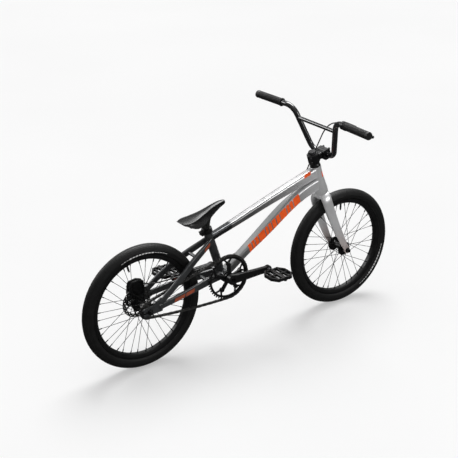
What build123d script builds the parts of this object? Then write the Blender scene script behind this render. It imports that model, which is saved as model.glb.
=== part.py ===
from build123d import *
import math

# BMX race bike.  Millimetres.  X forward, Y to the rider's left, Z up.
# The origin is on the floor, midway between the wheels, in the bike's middle plane.

# Wheels: 20 inch, 47-406
WHEELBASE = 955.0
WHEEL_RADIUS = 250.0
TYRE_RADIUS = 23.5
TYRE_WALL = 3.5
RIM_OUTER = 209.5
RIM_SEAT = 203.0
RIM_INNER = 191.0
RIM_HALF_WIDTH = 14.5
RIM_FLOOR_HALF = 8.0
SPOKE_COUNT = 36
SPOKE_CROSS_ANGLE = 60.0
SPOKE_RADIUS = 1.0
ELBOW_RADIUS = 1.15
NIPPLE_RADIUS = 2.0
VALVE_RADIUS = 4.0
FLANGE_RADIUS = 29.5
SPOKE_CIRCLE = 26.0
FLANGE_HALF = 1.3
FRONT_FLANGES = (31.0, -31.0)
REAR_FLANGES = (23.0, -25.0)
FRONT_FIRST_SPOKE = 14.0
REAR_FIRST_SPOKE = 2.0
FRONT_LEAD = -1
REAR_LEAD = 1
FRONT_VALVE_ANGLE = 89.0
REAR_VALVE_ANGLE = 107.0
RUNNING = 0.05

# Frame
HEAD_ANGLE = 74.0
FORK_RAKE = 24.0
SEAT_ANGLE = 72.0
BB_X = -115.6
BB_Z = 287.0
BB_HALF_WIDTH = 34.0
BB_RADIUS = 24.0
SEAT_TUBE_RADIUS = 17.0
POST_RADIUS = 13.6
TUBE_WALL = 2.2
STAY_WALL = 1.8
HEAD_LOW = 289.0
HEAD_HIGH = 407.0
SEAT_TUBE_TOP = 214.0
DROPOUT_INNER = 55.0
DROPOUT_OUTER = 61.0

# Drivetrain: 44 x 16 teeth, 1/2 inch pitch
CHAIN_PITCH = 12.7
CHAIN_LINE = -44.0
RING_TEETH = 44
COG_TEETH = 16
ROLLER_RADIUS = 3.85
SEAT_RADIUS = 4.3
TOOTH_HEIGHT = 2.6
SAG_SIDE = -1
CRANK_LENGTH = 170.0
CRANK_OUTER = 80.0
PEDAL_CENTRE = 140.0

# Brake
ROTOR_RADIUS = 60.0
ROTOR_Y = 40.0
HOSE_RADIUS = 2.5

# Cockpit, given in the steering frame: distance ahead of the steerer and height along it
CLAMP_AHEAD = 50.0
CLAMP_HEIGHT = 440.0
BAR_RADIUS = 11.1
BAR_HALF = 343.0
GRIP_INNER = 200.0

REAR_AXLE = (-WHEELBASE / 2, 0, WHEEL_RADIUS)
FRONT_AXLE = (WHEELBASE / 2, 0, WHEEL_RADIUS)
BB = (BB_X, 0, BB_Z)

head = math.radians(HEAD_ANGLE)
STEER_UP = Vector(-math.cos(head), 0, math.sin(head))
STEER_AHEAD = Vector(math.sin(head), 0, math.cos(head))
STEER_FOOT = Vector(*FRONT_AXLE) - STEER_AHEAD * FORK_RAKE
STEER = Plane(origin=STEER_FOOT, x_dir=STEER_AHEAD, z_dir=STEER_UP)

seat = math.radians(SEAT_ANGLE)
SEAT_UP = Vector(-math.cos(seat), 0, math.sin(seat))
SEAT = Plane(origin=BB, x_dir=(math.sin(seat), 0, math.cos(seat)), z_dir=SEAT_UP)


def at_steer(ahead, side, height):
    return STEER_FOOT + STEER_AHEAD * ahead + Vector(0, side, 0) + STEER_UP * height


def at_seat(ahead, side, height):
    return SEAT.from_local_coords(Vector(ahead, side, height))


def save(node, *solids):
    shape = solids[0] if len(solids) == 1 else Compound(children=list(solids))
    export_step(shape, f"parts/{node}.step")


def rod(start, end, radius, bore=0.0):
    """A round bar, or a tube when it has a bore, from one point to another."""
    start = Vector(*start)
    end = Vector(*end)
    length = (end - start).length
    body = Cylinder(radius, length)
    if bore:
        body -= Cylinder(bore, length + 2)
    return Plane(origin=(start + end) * 0.5, z_dir=end - start) * body


def disc(centre, y_from, y_to, radius, bore=0.0):
    """A disc or ring across the bike, about a line parallel to Y."""
    x, _, z = centre
    return rod((x, y_from, z), (x, y_to, z), radius, bore)


def turned(outline, centre):
    """A ring turned from (radius, y) points about the Y line through centre."""
    return Pos(*centre) * revolve(make_face(Polyline(*outline, close=True)), Axis.Y)


def turned_steer(outline):
    """A ring turned from (radius, height) points about the steerer."""
    face = make_face(Plane.XZ * Polyline(*outline, close=True))
    return STEER * revolve(face, Axis.Z)


def slab(points, y_from, y_to, corner=0.0):
    """A plate across the bike: (x, z) corners, rounded, from one Y to another."""
    outline = make_face(Polyline(*points, close=True))
    if corner:
        outline = fillet(outline.vertices(), corner)
    low, high = min(y_from, y_to), max(y_from, y_to)
    return Pos(0, high, 0) * extrude(Plane.XZ * outline, amount=high - low)


def mirrored(solid):
    return mirror(solid, Plane.XZ)


def tube_body(stations, inset=0.0):
    """A shaped tube skinned over stations (x, y, z, width, depth, corner)."""
    sections = []
    for i, (x, y, z, width, depth, corner) in enumerate(stations):
        before = stations[max(i - 1, 0)]
        after = stations[min(i + 1, len(stations) - 1)]
        along = (Vector(*after[:3]) - Vector(*before[:3])).normalized()
        across = (Vector(0, 1, 0) - along * along.Y).normalized()
        plane = Plane(origin=(x, y, z), x_dir=across, z_dir=along)
        w, d = width - 2 * inset, depth - 2 * inset
        r = max(corner - inset, 1.0)
        sections.append(plane * RectangleRounded(w, d, r))
    return loft(sections)


def polar(centre, radius, degrees, y):
    a = math.radians(degrees)
    return Vector(centre[0] + radius * math.cos(a), y, centre[2] + radius * math.sin(a))


# ---------------------------------------------------------------- wheels

def rim(centre, holes, valve_angle):
    w, f = RIM_HALF_WIDTH, RIM_FLOOR_HALF
    half = [(RIM_OUTER, w), (RIM_OUTER, w - 1.8), (RIM_SEAT, w - 1.8), (RIM_SEAT, f), (RIM_SEAT - 2, f - 3)]
    under = [(RIM_INNER, f - 1), (RIM_INNER + 3, w - 2.5), (RIM_SEAT, w)]
    outline = half + [(r, -y) for r, y in reversed(half)]
    outline += [(r, -y) for r, y in reversed(under)] + under
    body = turned(outline, centre)
    low, high, c = RIM_INNER + 2, RIM_SEAT - 4.2, w - 4.5
    body -= turned([(low, c - 3), (high, c), (high, -c), (low, 3 - c)], centre)
    for start, end in holes:
        along = (end - start).normalized()
        body -= rod(end - along * 8, end + along * 3, NIPPLE_RADIUS + 0.25)
    valve_low = polar(centre, RIM_INNER - 6, valve_angle, 0)
    valve_high = polar(centre, RIM_SEAT + 3, valve_angle, 0)
    body -= rod(valve_low, valve_high, VALVE_RADIUS + 0.2)
    return body


def spoke_lines(centre, flanges, first_angle, lead):
    """Start and end of each spoke: laced three cross, alternately left and right."""
    lines = []
    for k in range(SPOKE_COUNT):
        side = 0 if k % 2 == 0 else 1
        turn = lead if (k // 2) % 2 == 0 else -lead
        outward = 1 if side == 0 else -1
        rim_angle = first_angle + k * 360 / SPOKE_COUNT
        stand_off = FLANGE_HALF + 3.0 if turn > 0 else -FLANGE_HALF - 2.0
        hub_angle = rim_angle - turn * SPOKE_CROSS_ANGLE
        start = polar(centre, SPOKE_CIRCLE, hub_angle, flanges[side] + outward * stand_off)
        end = polar(centre, RIM_INNER + 1.5, rim_angle, 2.5 * outward)
        lines.append((start, end, flanges[side], outward * turn))
    return lines


def spokes(lines):
    solids = []
    for start, end, flange, way in lines:
        along = (end - start).normalized()
        foot = Vector(start.X, flange - way * (FLANGE_HALF + 0.3), start.Z)
        knob = Vector(start.X, flange - way * (FLANGE_HALF + 1.5), start.Z)
        heel = Vector(start.X, start.Y + way * ELBOW_RADIUS * 1.1, start.Z)
        spoke = rod(heel, foot, ELBOW_RADIUS) + rod(start, end, SPOKE_RADIUS) + rod(foot, knob, 1.9)
        nipple = rod(end - along * 14, end + along * 2, NIPPLE_RADIUS)
        nipple += rod(end + along * 1.2, end + along * 3.4, 3.2)
        nipple -= rod(end - along * 16, end, SPOKE_RADIUS)
        solids += [spoke, nipple]
    return solids


def tyre(centre):
    mid = WHEEL_RADIUS - TYRE_RADIUS
    inner = TYRE_RADIUS - TYRE_WALL
    bead = RIM_HALF_WIDTH - 1.9

    def arc_point(radius, at):
        return (at, math.sqrt(radius * radius - (mid - at) ** 2))

    out_low = arc_point(TYRE_RADIUS, RIM_OUTER + 2)
    in_low = arc_point(inner, RIM_OUTER + 4)
    lip = (RIM_OUTER + 0.3, RIM_HALF_WIDTH)
    shoulder = (RIM_OUTER + 0.3, bead)
    toe = (RIM_SEAT + 0.1, bead)
    heel = (RIM_SEAT + 0.1, RIM_FLOOR_HALF + 0.6)
    knee = (RIM_SEAT + 5, RIM_FLOOR_HALF + 0.6)

    def flip(p):
        return (p[0], -p[1])

    def wall(points):
        return [Line(a, b) for a, b in zip(points[:-1], points[1:])]

    left = [out_low, lip, shoulder, toe, heel, knee, in_low]
    right = [flip(p) for p in left]
    edges = wall(left) + wall(right)
    edges.append(ThreePointArc(out_low, (WHEEL_RADIUS, 0), flip(out_low)))
    edges.append(ThreePointArc(in_low, (mid + inner, 0), flip(in_low)))
    return Pos(*centre) * revolve(make_face(edges), Axis.Y)


def inner_tube(centre, valve_angle):
    mid = WHEEL_RADIUS - TYRE_RADIUS
    section = Pos(mid, 0) * (Circle(18.5) - Circle(17.5))
    ring = Pos(*centre) * revolve(section, Axis.Y)
    top = polar(centre, mid - 16, valve_angle, 0)
    foot = polar(centre, RIM_INNER - 24, valve_angle, 0)
    tip = polar(centre, RIM_INNER - 30, valve_angle, 0)
    ring -= rod(polar(centre, mid - 22, valve_angle, 0), top, VALVE_RADIUS)
    valve = rod(foot, top, VALVE_RADIUS) + rod(tip, foot, 3.0)
    valve -= rod(foot, top + (top - foot), 1.2)
    return ring, valve


def flange_holes(lines):
    """The holes that the spoke elbows pass through."""
    holes = []
    for start, _, y, _ in lines:
        holes.append(disc((start.X, 0, start.Z), y - 4, y + 4, ELBOW_RADIUS + 0.2))
    return holes


def front_hub(lines):
    flange = FRONT_FLANGES[0]
    half = [(16, 40), (16, flange + FLANGE_HALF), (FLANGE_RADIUS, flange + FLANGE_HALF)]
    half += [(FLANGE_RADIUS, flange - FLANGE_HALF), (16, flange - FLANGE_HALF), (12.5, flange - 9)]
    outline = half + [(r, -y) for r, y in reversed(half)]
    inner = [(13, 40), (13, 32), (8, 32)]
    outline = outline + [(r, -y) for r, y in inner] + list(reversed(inner))
    shell = turned(outline, FRONT_AXLE)
    for hole in flange_holes(lines):
        shell -= hole
    return shell


def rear_hub(lines):
    left, right = REAR_FLANGES
    half, edge = FLANGE_HALF, FLANGE_RADIUS
    outline = [(15, 45), (15, 43.5), (16, 41), (16, 39), (25, 39), (25, 34), (16, 31)]
    outline += [(16, left + half), (edge, left + half), (edge, left - half), (16, left - half)]
    outline += [(14, left - 7), (14, right + 7)]
    outline += [(16, right + half), (edge, right + half), (edge, right - half), (16, right - half)]
    outline += [(16, -30), (13, -30), (13, -22), (8, -22), (8, 37), (13, 37), (13, 45)]
    shell = turned(outline, REAR_AXLE)
    for hole in flange_holes(lines):
        shell -= hole
    for k in range(6):
        spot = polar(REAR_AXLE, 22, 60 * k, 0)
        shell -= disc(spot, 33, 40, 2.0)
    return shell


def bearing(centre, y_from, y_to, shaft, outer=13.0):
    return disc(centre, y_from, y_to, outer, shaft + RUNNING)


def rotor():
    plate = disc(REAR_AXLE, ROTOR_Y - 1, ROTOR_Y + 1, ROTOR_RADIUS, 46)
    plate += disc(REAR_AXLE, ROTOR_Y - 1, ROTOR_Y + 1, 26, 17)
    for k in range(6):
        a = 60 * k
        inner = polar(REAR_AXLE, 24, a, ROTOR_Y)
        outer = polar(REAR_AXLE, 47.5, a + 22, ROTOR_Y)
        mid = (inner + outer) * 0.5
        arm = Pos(*mid) * Rot(0, -math.degrees(math.atan2(outer.Z - inner.Z, outer.X - inner.X)), 0)
        plate += arm * Box((outer - inner).length + 2, 2, 5)
    for k in range(36):
        spot = polar(REAR_AXLE, 50 if k % 2 else 55.5, 10 * k, ROTOR_Y)
        plate -= disc(spot, ROTOR_Y - 2, ROTOR_Y + 2, 2.2)
    bolts = []
    for k in range(6):
        spot = polar(REAR_AXLE, 22, 60 * k, 0)
        plate -= disc(spot, ROTOR_Y - 2, ROTOR_Y + 2, 2.2)
        bolts.append(disc(spot, 33.5, ROTOR_Y + 1, 2.0) + disc(spot, ROTOR_Y + 1, ROTOR_Y + 3, 4.0))
    return [plate] + bolts


def axle_set(centre, half, stop_left, stop_right, hub_left, hub_right):
    """Axle with a groove at each nut, its spacers between hub and dropouts, and its flanged nuts."""
    nut_end = stop_left + 16
    axle = disc(centre, -half, half, 5.0)
    for side in (1, -1):
        axle -= disc(centre, side * (nut_end - 0.7), side * (nut_end + 0.4), 6.0, 4.3)
    spacers = [disc(centre, hub_left + 0.5, stop_left, 8.0, 5.0)]
    spacers.append(disc(centre, stop_right, hub_right - 0.5, 8.0, 5.0))
    nuts = []
    for side, stop in ((1, stop_left + 6), (-1, stop_right - 6)):
        flange = disc(centre, side * abs(stop), side * (abs(stop) + 2), 11.0, 5.0)
        hexagon = extrude(RegularPolygon(8.6, 6), amount=8) - Cylinder(5.0, 40)
        spin = Rot(-90, 0, 0) if side > 0 else Rot(90, 0, 0)
        nuts.append(flange + Pos(centre[0], side * (abs(stop) + 2), centre[2]) * spin * hexagon)
    return [axle] + spacers + nuts


front_lines = spoke_lines(FRONT_AXLE, FRONT_FLANGES, FRONT_FIRST_SPOKE, FRONT_LEAD)
rear_lines = spoke_lines(REAR_AXLE, REAR_FLANGES, REAR_FIRST_SPOKE, REAR_LEAD)
save("front_rim", rim(FRONT_AXLE, [line[:2] for line in front_lines], FRONT_VALVE_ANGLE))
save("rear_rim", rim(REAR_AXLE, [line[:2] for line in rear_lines], REAR_VALVE_ANGLE))
save("front_spokes", *spokes(front_lines))
save("rear_spokes", *spokes(rear_lines))
save("front_tyre", tyre(FRONT_AXLE))
save("rear_tyre", tyre(REAR_AXLE))
save("front_inner_tube", *inner_tube(FRONT_AXLE, FRONT_VALVE_ANGLE))
save("rear_inner_tube", *inner_tube(REAR_AXLE, REAR_VALVE_ANGLE))
save("front_hub", front_hub(front_lines))
save("rear_hub", rear_hub(rear_lines))
save("front_hub_bearings", bearing(FRONT_AXLE, 32, 40, 5.0), bearing(FRONT_AXLE, -40, -32, 5.0))
save("rear_hub_bearings", bearing(REAR_AXLE, 37, 45, 5.0), bearing(REAR_AXLE, -30, -22, 5.0))
save("brake_rotor", *rotor())
save("front_axle", *axle_set(FRONT_AXLE, 70, 50, -50, 40, -40))
save("rear_axle", *axle_set(REAR_AXLE, 76, DROPOUT_INNER, -DROPOUT_INNER, 45, -51.5))


# ---------------------------------------------------------------- frame tubes

head_skin = [(28, HEAD_LOW), (28, 302), (23.5, 345), (22, 362), (22, HEAD_HIGH)]
head_bore = [(20.5, HEAD_HIGH), (20.5, 399), (19, 399), (19, 360), (20.5, 345), (25, 304), (25, 297)]
head_bore += [(26, 297), (26, HEAD_LOW)]
head_tube = turned_steer(head_skin + head_bore)
head_block = turned_steer([(0, HEAD_LOW)] + head_skin + [(0, HEAD_HIGH)])

seat_block = rod(at_seat(0, 0, 0), at_seat(0, 0, SEAT_TUBE_TOP), SEAT_TUBE_RADIUS)
bb_block = disc(BB, -BB_HALF_WIDTH, BB_HALF_WIDTH, BB_RADIUS)
bb_shell = disc(BB, -BB_HALF_WIDTH, BB_HALF_WIDTH, BB_RADIUS, 20.5)
seat_tube = rod(at_seat(0, 0, 0), at_seat(0, 0, SEAT_TUBE_TOP), SEAT_TUBE_RADIUS, POST_RADIUS + RUNNING)
seat_tube -= bb_block

TOP_TUBE = [
    (-160, 0, 453, 32, 25, 8),
    (-70, 0, 481.5, 34, 25, 8),
    (14, 0, 508.5, 36, 28, 9),
    (110, 0, 539.5, 37, 33, 10),
    (213, 0, 570.5, 38, 40, 11),
    (290, 0, 593, 38, 45, 12),
    (352, 0, 610, 38, 48, 12),
]
DOWN_TUBE = [
    (-118, 0, 284, 36, 30, 9),
    (-14, 0, 348.5, 40, 31, 9),
    (50, 0, 391, 42, 36, 10),
    (107, 0, 430, 43, 42, 10),
    (206, 0, 496.5, 42, 46, 11),
    (262, 0, 525.5, 40, 47, 12),
    (312, 0, 545, 39, 48, 12),
    (372, 0, 560, 38, 50, 12),
]
top_block = tube_body(TOP_TUBE)
down_block = tube_body(DOWN_TUBE)
top_tube = top_block - tube_body(TOP_TUBE, TUBE_WALL) - head_block - seat_block
down_tube = down_block - tube_body(DOWN_TUBE, TUBE_WALL) - head_block - bb_block - seat_block - top_block

CHAINSTAY = [
    (-118, 20, 289, 14, 30, 5),
    (-170, 27, 288, 14, 30, 5),
    (-240, 37.5, 282, 14, 29, 5),
    (-294, 46.5, 277, 14, 27, 5),
    (-375, 55.5, 267, 12.5, 25, 5),
    (-436, 58, 258, 12, 23, 5),
]
SEATSTAY = [
    (-168, 12, 444, 13, 24, 5),
    (-222, 26, 414, 14, 25, 5),
    (-283, 41, 379, 14, 26, 5),
    (-346, 54, 336, 12, 25, 5),
    (-384, 57.5, 309, 12, 24, 5),
    (-428, 58.5, 275, 12, 22, 5),
]
# Plates with a slot open to the rear; the left one carries the brake.
plate_points = [(-424, 240), (-505, 234), (-505, 266), (-462, 272), (-430, 296), (-408, 282), (-418, 266)]
brake_points = [(-424, 240), (-505, 234), (-505, 266), (-509, 292), (-503, 334), (-486, 337)]
brake_points += [(-472, 320), (-450, 306), (-430, 296), (-408, 282), (-418, 266)]
axle_slot = slab([(-520, 244.9), (-468, 244.9), (-468, 255.1), (-520, 255.1)], -80, 80)
dropout_right = slab(plate_points, -DROPOUT_OUTER, -DROPOUT_INNER, 3) - axle_slot
dropout_left = slab(brake_points, DROPOUT_INNER, DROPOUT_OUTER, 3) - axle_slot

chain_block = tube_body(CHAINSTAY)
seatstay_block = tube_body(SEATSTAY)
CALIPER_BOLTS = ((-496, 322), (-462, 305))
for x, z in CALIPER_BOLTS:
    dropout_left -= rod((x, 50, z), (x, 70, z), 3.1)


def stay_pair(stations, left_cuts, right_cuts):
    """Left and right hollow stays, trimmed where they meet other parts."""
    left = tube_body(stations) - tube_body(stations, STAY_WALL)
    right = mirrored(left)
    for cut in left_cuts:
        left -= cut
    for cut in right_cuts:
        right -= cut
    return [left, right]


plate_left = slab(brake_points, DROPOUT_INNER, DROPOUT_OUTER, 3)
plate_right = slab(plate_points, -DROPOUT_OUTER, -DROPOUT_INNER, 3)
chain_block_right = mirrored(chain_block)
chainstays = stay_pair(CHAINSTAY, [bb_block, plate_left], [bb_block, plate_right])
seatstays = stay_pair(
    SEATSTAY,
    [seat_block, plate_left, chain_block],
    [seat_block, plate_right, chain_block_right],
)
stay_blocks = [chain_block, chain_block_right, seatstay_block, mirrored(seatstay_block)]
seat_bridge = rod((-247, -31, 399), (-247, 31, 399), 6.5, 4.5)
chain_bridge = rod((-198, -30, 286), (-198, 30, 286), 7, 5)
for block in stay_blocks:
    seat_bridge -= block
    chain_bridge -= block
top_tube -= seatstay_block
top_tube -= mirrored(seatstay_block)

save("head_tube", head_tube)
save("top_tube", top_tube)
save("seat_tube", seat_tube)
save("bottom_bracket_shell", bb_shell)
save("chainstays", *chainstays, chain_bridge)
save("seatstays", *seatstays, seat_bridge)
save("rear_dropouts", dropout_right, dropout_left)


# ---------------------------------------------------------------- headset and fork

save(
    "headset_bearings",
    turned_steer([(20.0 + RUNNING, 289.4), (26, 289.4), (26, 297), (20.0 + RUNNING, 297)]),
    turned_steer([(17.0 + RUNNING, 399), (20.5, 399), (20.5, 406.6), (17.0 + RUNNING, 406.6)]),
)
steerer = turned_steer([(14.3, 258), (14.3, 470), (12, 470), (12, 258)])
crown_race = turned_steer([(14.3, 288.5), (26.5, 288.5), (26.5, 289), (20, 289), (20, 297), (14.3, 297)])
top_race = turned_steer([(14.3, 399.5), (17, 399.5), (17, 407.4), (14.3, 407.4)])
save("fork_steerer", steerer, crown_race, top_race)

# Half of the crown: (ahead, side, height, width, depth, corner), from the steerer to a leg
CROWN_ARCH = [
    (1.0, 0, 274, 46, 28, 9),
    (-1, 20, 272, 45, 26, 9),
    (-6, 35, 262, 43, 21, 8),
    (-8, 42, 244, 42, 17, 8),
]
crown_stations = []
for ahead, side, height, width, depth, corner in CROWN_ARCH[:0:-1]:
    crown_stations.append((ahead, -side, height, width, depth, corner))
crown_stations += CROWN_ARCH


def arch_body(stations):
    """The fork crown: sections across an arch, set in the steering frame."""
    sections = []
    for i, (ahead, side, height, width, depth, corner) in enumerate(stations):
        before = stations[max(i - 1, 0)]
        after = stations[min(i + 1, len(stations) - 1)]
        along = Vector(0, after[1] - before[1], after[2] - before[2])
        if i in (0, len(stations) - 1):
            along = Vector(0, 0.15, -1.0 if i else 1.0)
        plane = Plane(origin=(ahead, side, height), x_dir=(1, 0, 0), z_dir=along)
        sections.append(plane * RectangleRounded(width, depth, corner))
    return STEER * loft(sections)


crown_arch = arch_body(crown_stations)
crown_block = crown_arch + turned_steer([(0, 258), (24, 258), (27, 275), (28, 288.5), (0, 288.5)])
crown = crown_block - turned_steer([(0, 240), (14.3, 240), (14.3, 300), (0, 300)])
save("fork_crown", crown)

LEG = [
    (at_steer(-8, 41, 252), 17, 42, 7),
    (at_steer(-7, 44.5, 205), 17, 41, 7),
    (at_steer(-2, 48, 150), 16, 37, 7),
    (at_steer(5, 51, 95), 15, 33, 6),
    (at_steer(13, 53.5, 45), 14, 29, 6),
    (at_steer(18, 54.5, 18), 13, 26, 5),
]
leg_stations = [(p.X, p.Y, p.Z, width, depth, corner) for p, width, depth, corner in LEG]
TIP_OUTLINE = [(4, 40), (5, 8), (10, -12), (24, -17), (38, -12), (42, 6), (30, 26), (28, 42)]
tip_points = [at_steer(ahead, 0, height) for ahead, height in TIP_OUTLINE]
axle_gap = STEER * Pos(FORK_RAKE, 0, -15) * Box(10.2, 150, 30)
fork_tips = []
for side in (1, -1):
    plate = slab([(p.X, p.Z) for p in tip_points], side * 50, side * 56, 4)
    plate -= axle_gap
    plate -= disc(FRONT_AXLE, -80, 80, 5.1)
    fork_tips.append(plate)
crown_foot = Plane(origin=(-8, 42, 244), x_dir=(1, 0, 0), z_dir=(0, -0.15, 1.0))
above_crown_foot = STEER * (crown_foot * (Pos(0, 0, 50) * Box(200, 100, 100)))
leg = tube_body(leg_stations) - tube_body(leg_stations[:5], TUBE_WALL) - above_crown_foot
# The tip stands in a slot through the leg's foot.
leg -= STEER * Pos(18, 53, 10) * Box(80, 6, 65)
save("fork_legs", leg, mirrored(leg), *fork_tips)


# ---------------------------------------------------------------- cockpit

save(
    "headset_cover",
    turned_steer([(14.3, 407.8), (22, 407.8), (21, 413), (18, 419), (14.3, 419)]),
    turned_steer([(14.3, 419), (17.5, 419), (17.5, 424), (14.3, 424)]),
)
clamp = at_steer(CLAMP_AHEAD, 0, CLAMP_HEIGHT)
STEM_LOW, STEM_HIGH = 424.0, 464.0
CLAMP_HALF = 25.0
FACE_GAP = 1.0
bar_space = rod((clamp.X, -60, clamp.Z), (clamp.X, 60, clamp.Z), BAR_RADIUS)
stem_collar = [(0, STEM_LOW), (21, STEM_LOW), (24, STEM_LOW + 3)]
stem_collar += [(24, STEM_HIGH - 3), (21, STEM_HIGH), (0, STEM_HIGH)]
stem = turned_steer(stem_collar)
arm = Box(CLAMP_AHEAD, 34, 28)
arm = fillet(arm.edges().filter_by(Axis.X), 6)
stem += STEER * Pos(CLAMP_AHEAD / 2, 0, (STEM_LOW + STEM_HIGH) / 2 - 2) * arm
jaw = Box(26, 2 * CLAMP_HALF, 42)
jaw = fillet(jaw.edges().filter_by(Axis.Y), 8)
stem += STEER * Pos(CLAMP_AHEAD - 3, 0, CLAMP_HEIGHT) * jaw
stem -= rod(at_steer(0, 0, 400), at_steer(0, 0, 480), 14.3)
front_space = STEER * Pos(CLAMP_AHEAD + 50, 0, CLAMP_HEIGHT) * Box(100, 80, 100)
stem -= front_space
stem -= bar_space
stem -= STEER * Pos(-22, 0, 444) * Box(30, 2, 60)
face = Box(18, 2 * CLAMP_HALF, 42)
face = fillet(face.edges().filter_by(Axis.Y).sort_by(Axis.X)[-2:], 8)
face = STEER * Pos(CLAMP_AHEAD + FACE_GAP + 9, 0, CLAMP_HEIGHT) * face
face -= bar_space
bolts = []
for side in (-17.5, 17.5):
    for height in (-15.5, 15.5):
        level = CLAMP_HEIGHT + height
        foot = at_steer(CLAMP_AHEAD - 12, side, level)
        neck = at_steer(CLAMP_AHEAD + 19, side, level)
        shank = rod(foot, neck, 2.5)
        bolts.append(shank + rod(neck, at_steer(CLAMP_AHEAD + 23, side, level), 4.5))
        stem -= shank
        face -= shank
for height in (434, 454):
    stem -= rod(at_steer(-19, -30, height), at_steer(-19, -14, height), 4.7)
    cap = rod(at_steer(-19, -18, height), at_steer(-19, -14, height), 4.5)
    shank = rod(at_steer(-19, -14, height), at_steer(-19, 10, height), 2.5)
    stem -= shank
    bolts.append(cap + shank)
save("stem_body", stem)
save("stem_faceplate", face)
save("stem_bolts", *bolts)
CAP_LOW, CAP_HIGH = STEM_HIGH + 6.2, STEM_HIGH + 10
top_cap = turned_steer([(0, CAP_LOW), (17, CAP_LOW), (15, CAP_HIGH), (0, CAP_HIGH)])
top_bolt = turned_steer([(0, 448), (3, 448), (3, CAP_LOW + 1), (0, CAP_LOW + 1)])
save("stem_top_cap", top_cap + top_bolt)

BAR_END = Vector(313, BAR_HALF, 855)
BAR_BEND = Vector(331.5, 133, 850.5)
BAR_FOOT = Vector(clamp.X, 66, clamp.Z)


def flip_y(p):
    return Vector(p.X, -p.Y, p.Z)


BEND_RADII = [58, 45, 45, 58]
half_bar = [BAR_FOOT, BAR_BEND, BAR_END]
bar_path = FilletPolyline(*[flip_y(p) for p in reversed(half_bar)], *half_bar, radius=BEND_RADII)


def bar_sweep(radius):
    start = Plane(origin=bar_path @ 0, z_dir=bar_path % 0)
    return sweep(start * Circle(radius), path=bar_path)


bar_block = bar_sweep(BAR_RADIUS)
bar = bar_block - bar_sweep(BAR_RADIUS - 1.8)
CROSS_AT = 0.735
cross_left = BAR_FOOT + (BAR_BEND - BAR_FOOT) * CROSS_AT
crossbar = rod(flip_y(cross_left), cross_left, 8.0, 6.4) - bar_block
save("handlebar", bar)
save("handlebar_crossbar", crossbar)

grip_way = (BAR_END - BAR_BEND).normalized()


def along_bar(side, y, ahead=0.0, up=0.0):
    """A point of the straight end of the bar at a distance y from the middle plane."""
    p = BAR_BEND + grip_way * ((y - BAR_BEND.Y) / grip_way.Y)
    return Vector(p.X + ahead, side * p.Y, p.Z + up)


grips, plugs = [], []
for side in (1, -1):
    sleeve = rod(along_bar(side, GRIP_INNER), along_bar(side, BAR_HALF), 15.5, BAR_RADIUS)
    sleeve += rod(along_bar(side, GRIP_INNER), along_bar(side, GRIP_INNER + 4), 17.5, BAR_RADIUS)
    sleeve += rod(along_bar(side, BAR_HALF - 5), along_bar(side, BAR_HALF), 17.0, BAR_RADIUS)
    grips.append(sleeve)
    plug = rod(along_bar(side, BAR_HALF), along_bar(side, BAR_HALF + 4), 15.0)
    plug += rod(along_bar(side, BAR_HALF - 14), along_bar(side, BAR_HALF), BAR_RADIUS - 1.8)
    plugs.append(plug)
save("grips", *grips)
save("bar_end_plugs", *plugs)

# Brake lever on the right grip. Its plane leans 25 degrees below level.
LEVER_TILT = math.radians(25)
lever_origin = along_bar(-1, 186)
lever_out = (along_bar(-1, 300) - along_bar(-1, 200)).normalized()
lever_up = Vector(math.sin(LEVER_TILT), 0, math.cos(LEVER_TILT))
lever_normal = lever_up - lever_out * lever_up.dot(lever_out)
LEVER = Plane(origin=lever_origin, x_dir=lever_up.cross(lever_out), z_dir=lever_normal)


def at_lever(ahead, out, up):
    """A point from the bar: ahead of it, outward along it, and above the lever's plane."""
    ahead_way = LEVER.z_dir.cross(lever_out)
    if ahead_way.X < 0:
        ahead_way = ahead_way * -1
    return lever_origin + ahead_way * ahead + lever_out * out + LEVER.z_dir * up


def lever_block(ahead, out, up, a, o, u):
    """A block of size a, o, u along those three directions."""
    ahead_way = at_lever(1, 0, 0) - lever_origin
    plane = Plane(origin=at_lever(ahead, out, up), x_dir=ahead_way, z_dir=LEVER.z_dir)
    return plane * Box(a, o, u)


bar_hole = rod(along_bar(-1, 150), along_bar(-1, 260), BAR_RADIUS)
PIVOT = (34, 34)
PIN_RADIUS = 2.5


def pivot_rod(low, high, radius):
    """A round bar about the lever's pivot, between two heights."""
    return rod(at_lever(*PIVOT, low), at_lever(*PIVOT, high), radius)


mount_ring = rod(at_lever(0, -7, 0), at_lever(0, 7, 0), 16.5)
master = rod(at_lever(30, -22, 6), at_lever(30, 30, 6), 10.0)
neck = lever_block(15, 0, 4, 26, 13, 14)
yoke_top = pivot_rod(4, 8, 9.0)
yoke_low = pivot_rod(-8, -4, 9.0)
back = lever_block(27, 22, 0, 8, 20, 16)
lever_body = mount_ring + neck + master + back + yoke_top + yoke_low
lever_body -= bar_hole
lever_body -= pivot_rod(-3.7, 3.7, 10.5)
lever_body -= pivot_rod(-12, 20, PIN_RADIUS)
save("brake_lever_body", lever_body, pivot_rod(-8.4, 8.0, PIN_RADIUS))

LEVER_ROUTE = [PIVOT, (50, 58), (54, 90), (50, 122)]
blade = pivot_rod(-3.2, 3.2, 7.0)
for (a0, o0), (a1, o1) in zip(LEVER_ROUTE[:-1], LEVER_ROUTE[1:]):
    start, end = at_lever(a0, o0, 0), at_lever(a1, o1, 0)
    plane = Plane(origin=(start + end) * 0.5, x_dir=end - start, z_dir=LEVER.z_dir)
    blade += plane * Box((end - start).length, 7, 6)
    blade += rod(at_lever(a1, o1, -3), at_lever(a1, o1, 3), 3.5)
blade += Pos(*at_lever(*LEVER_ROUTE[-1], 0)) * Sphere(6)
blade -= pivot_rod(-12, 12, PIN_RADIUS + RUNNING)
save("brake_lever", blade)


# ---------------------------------------------------------------- bottom bracket and cranks

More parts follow.
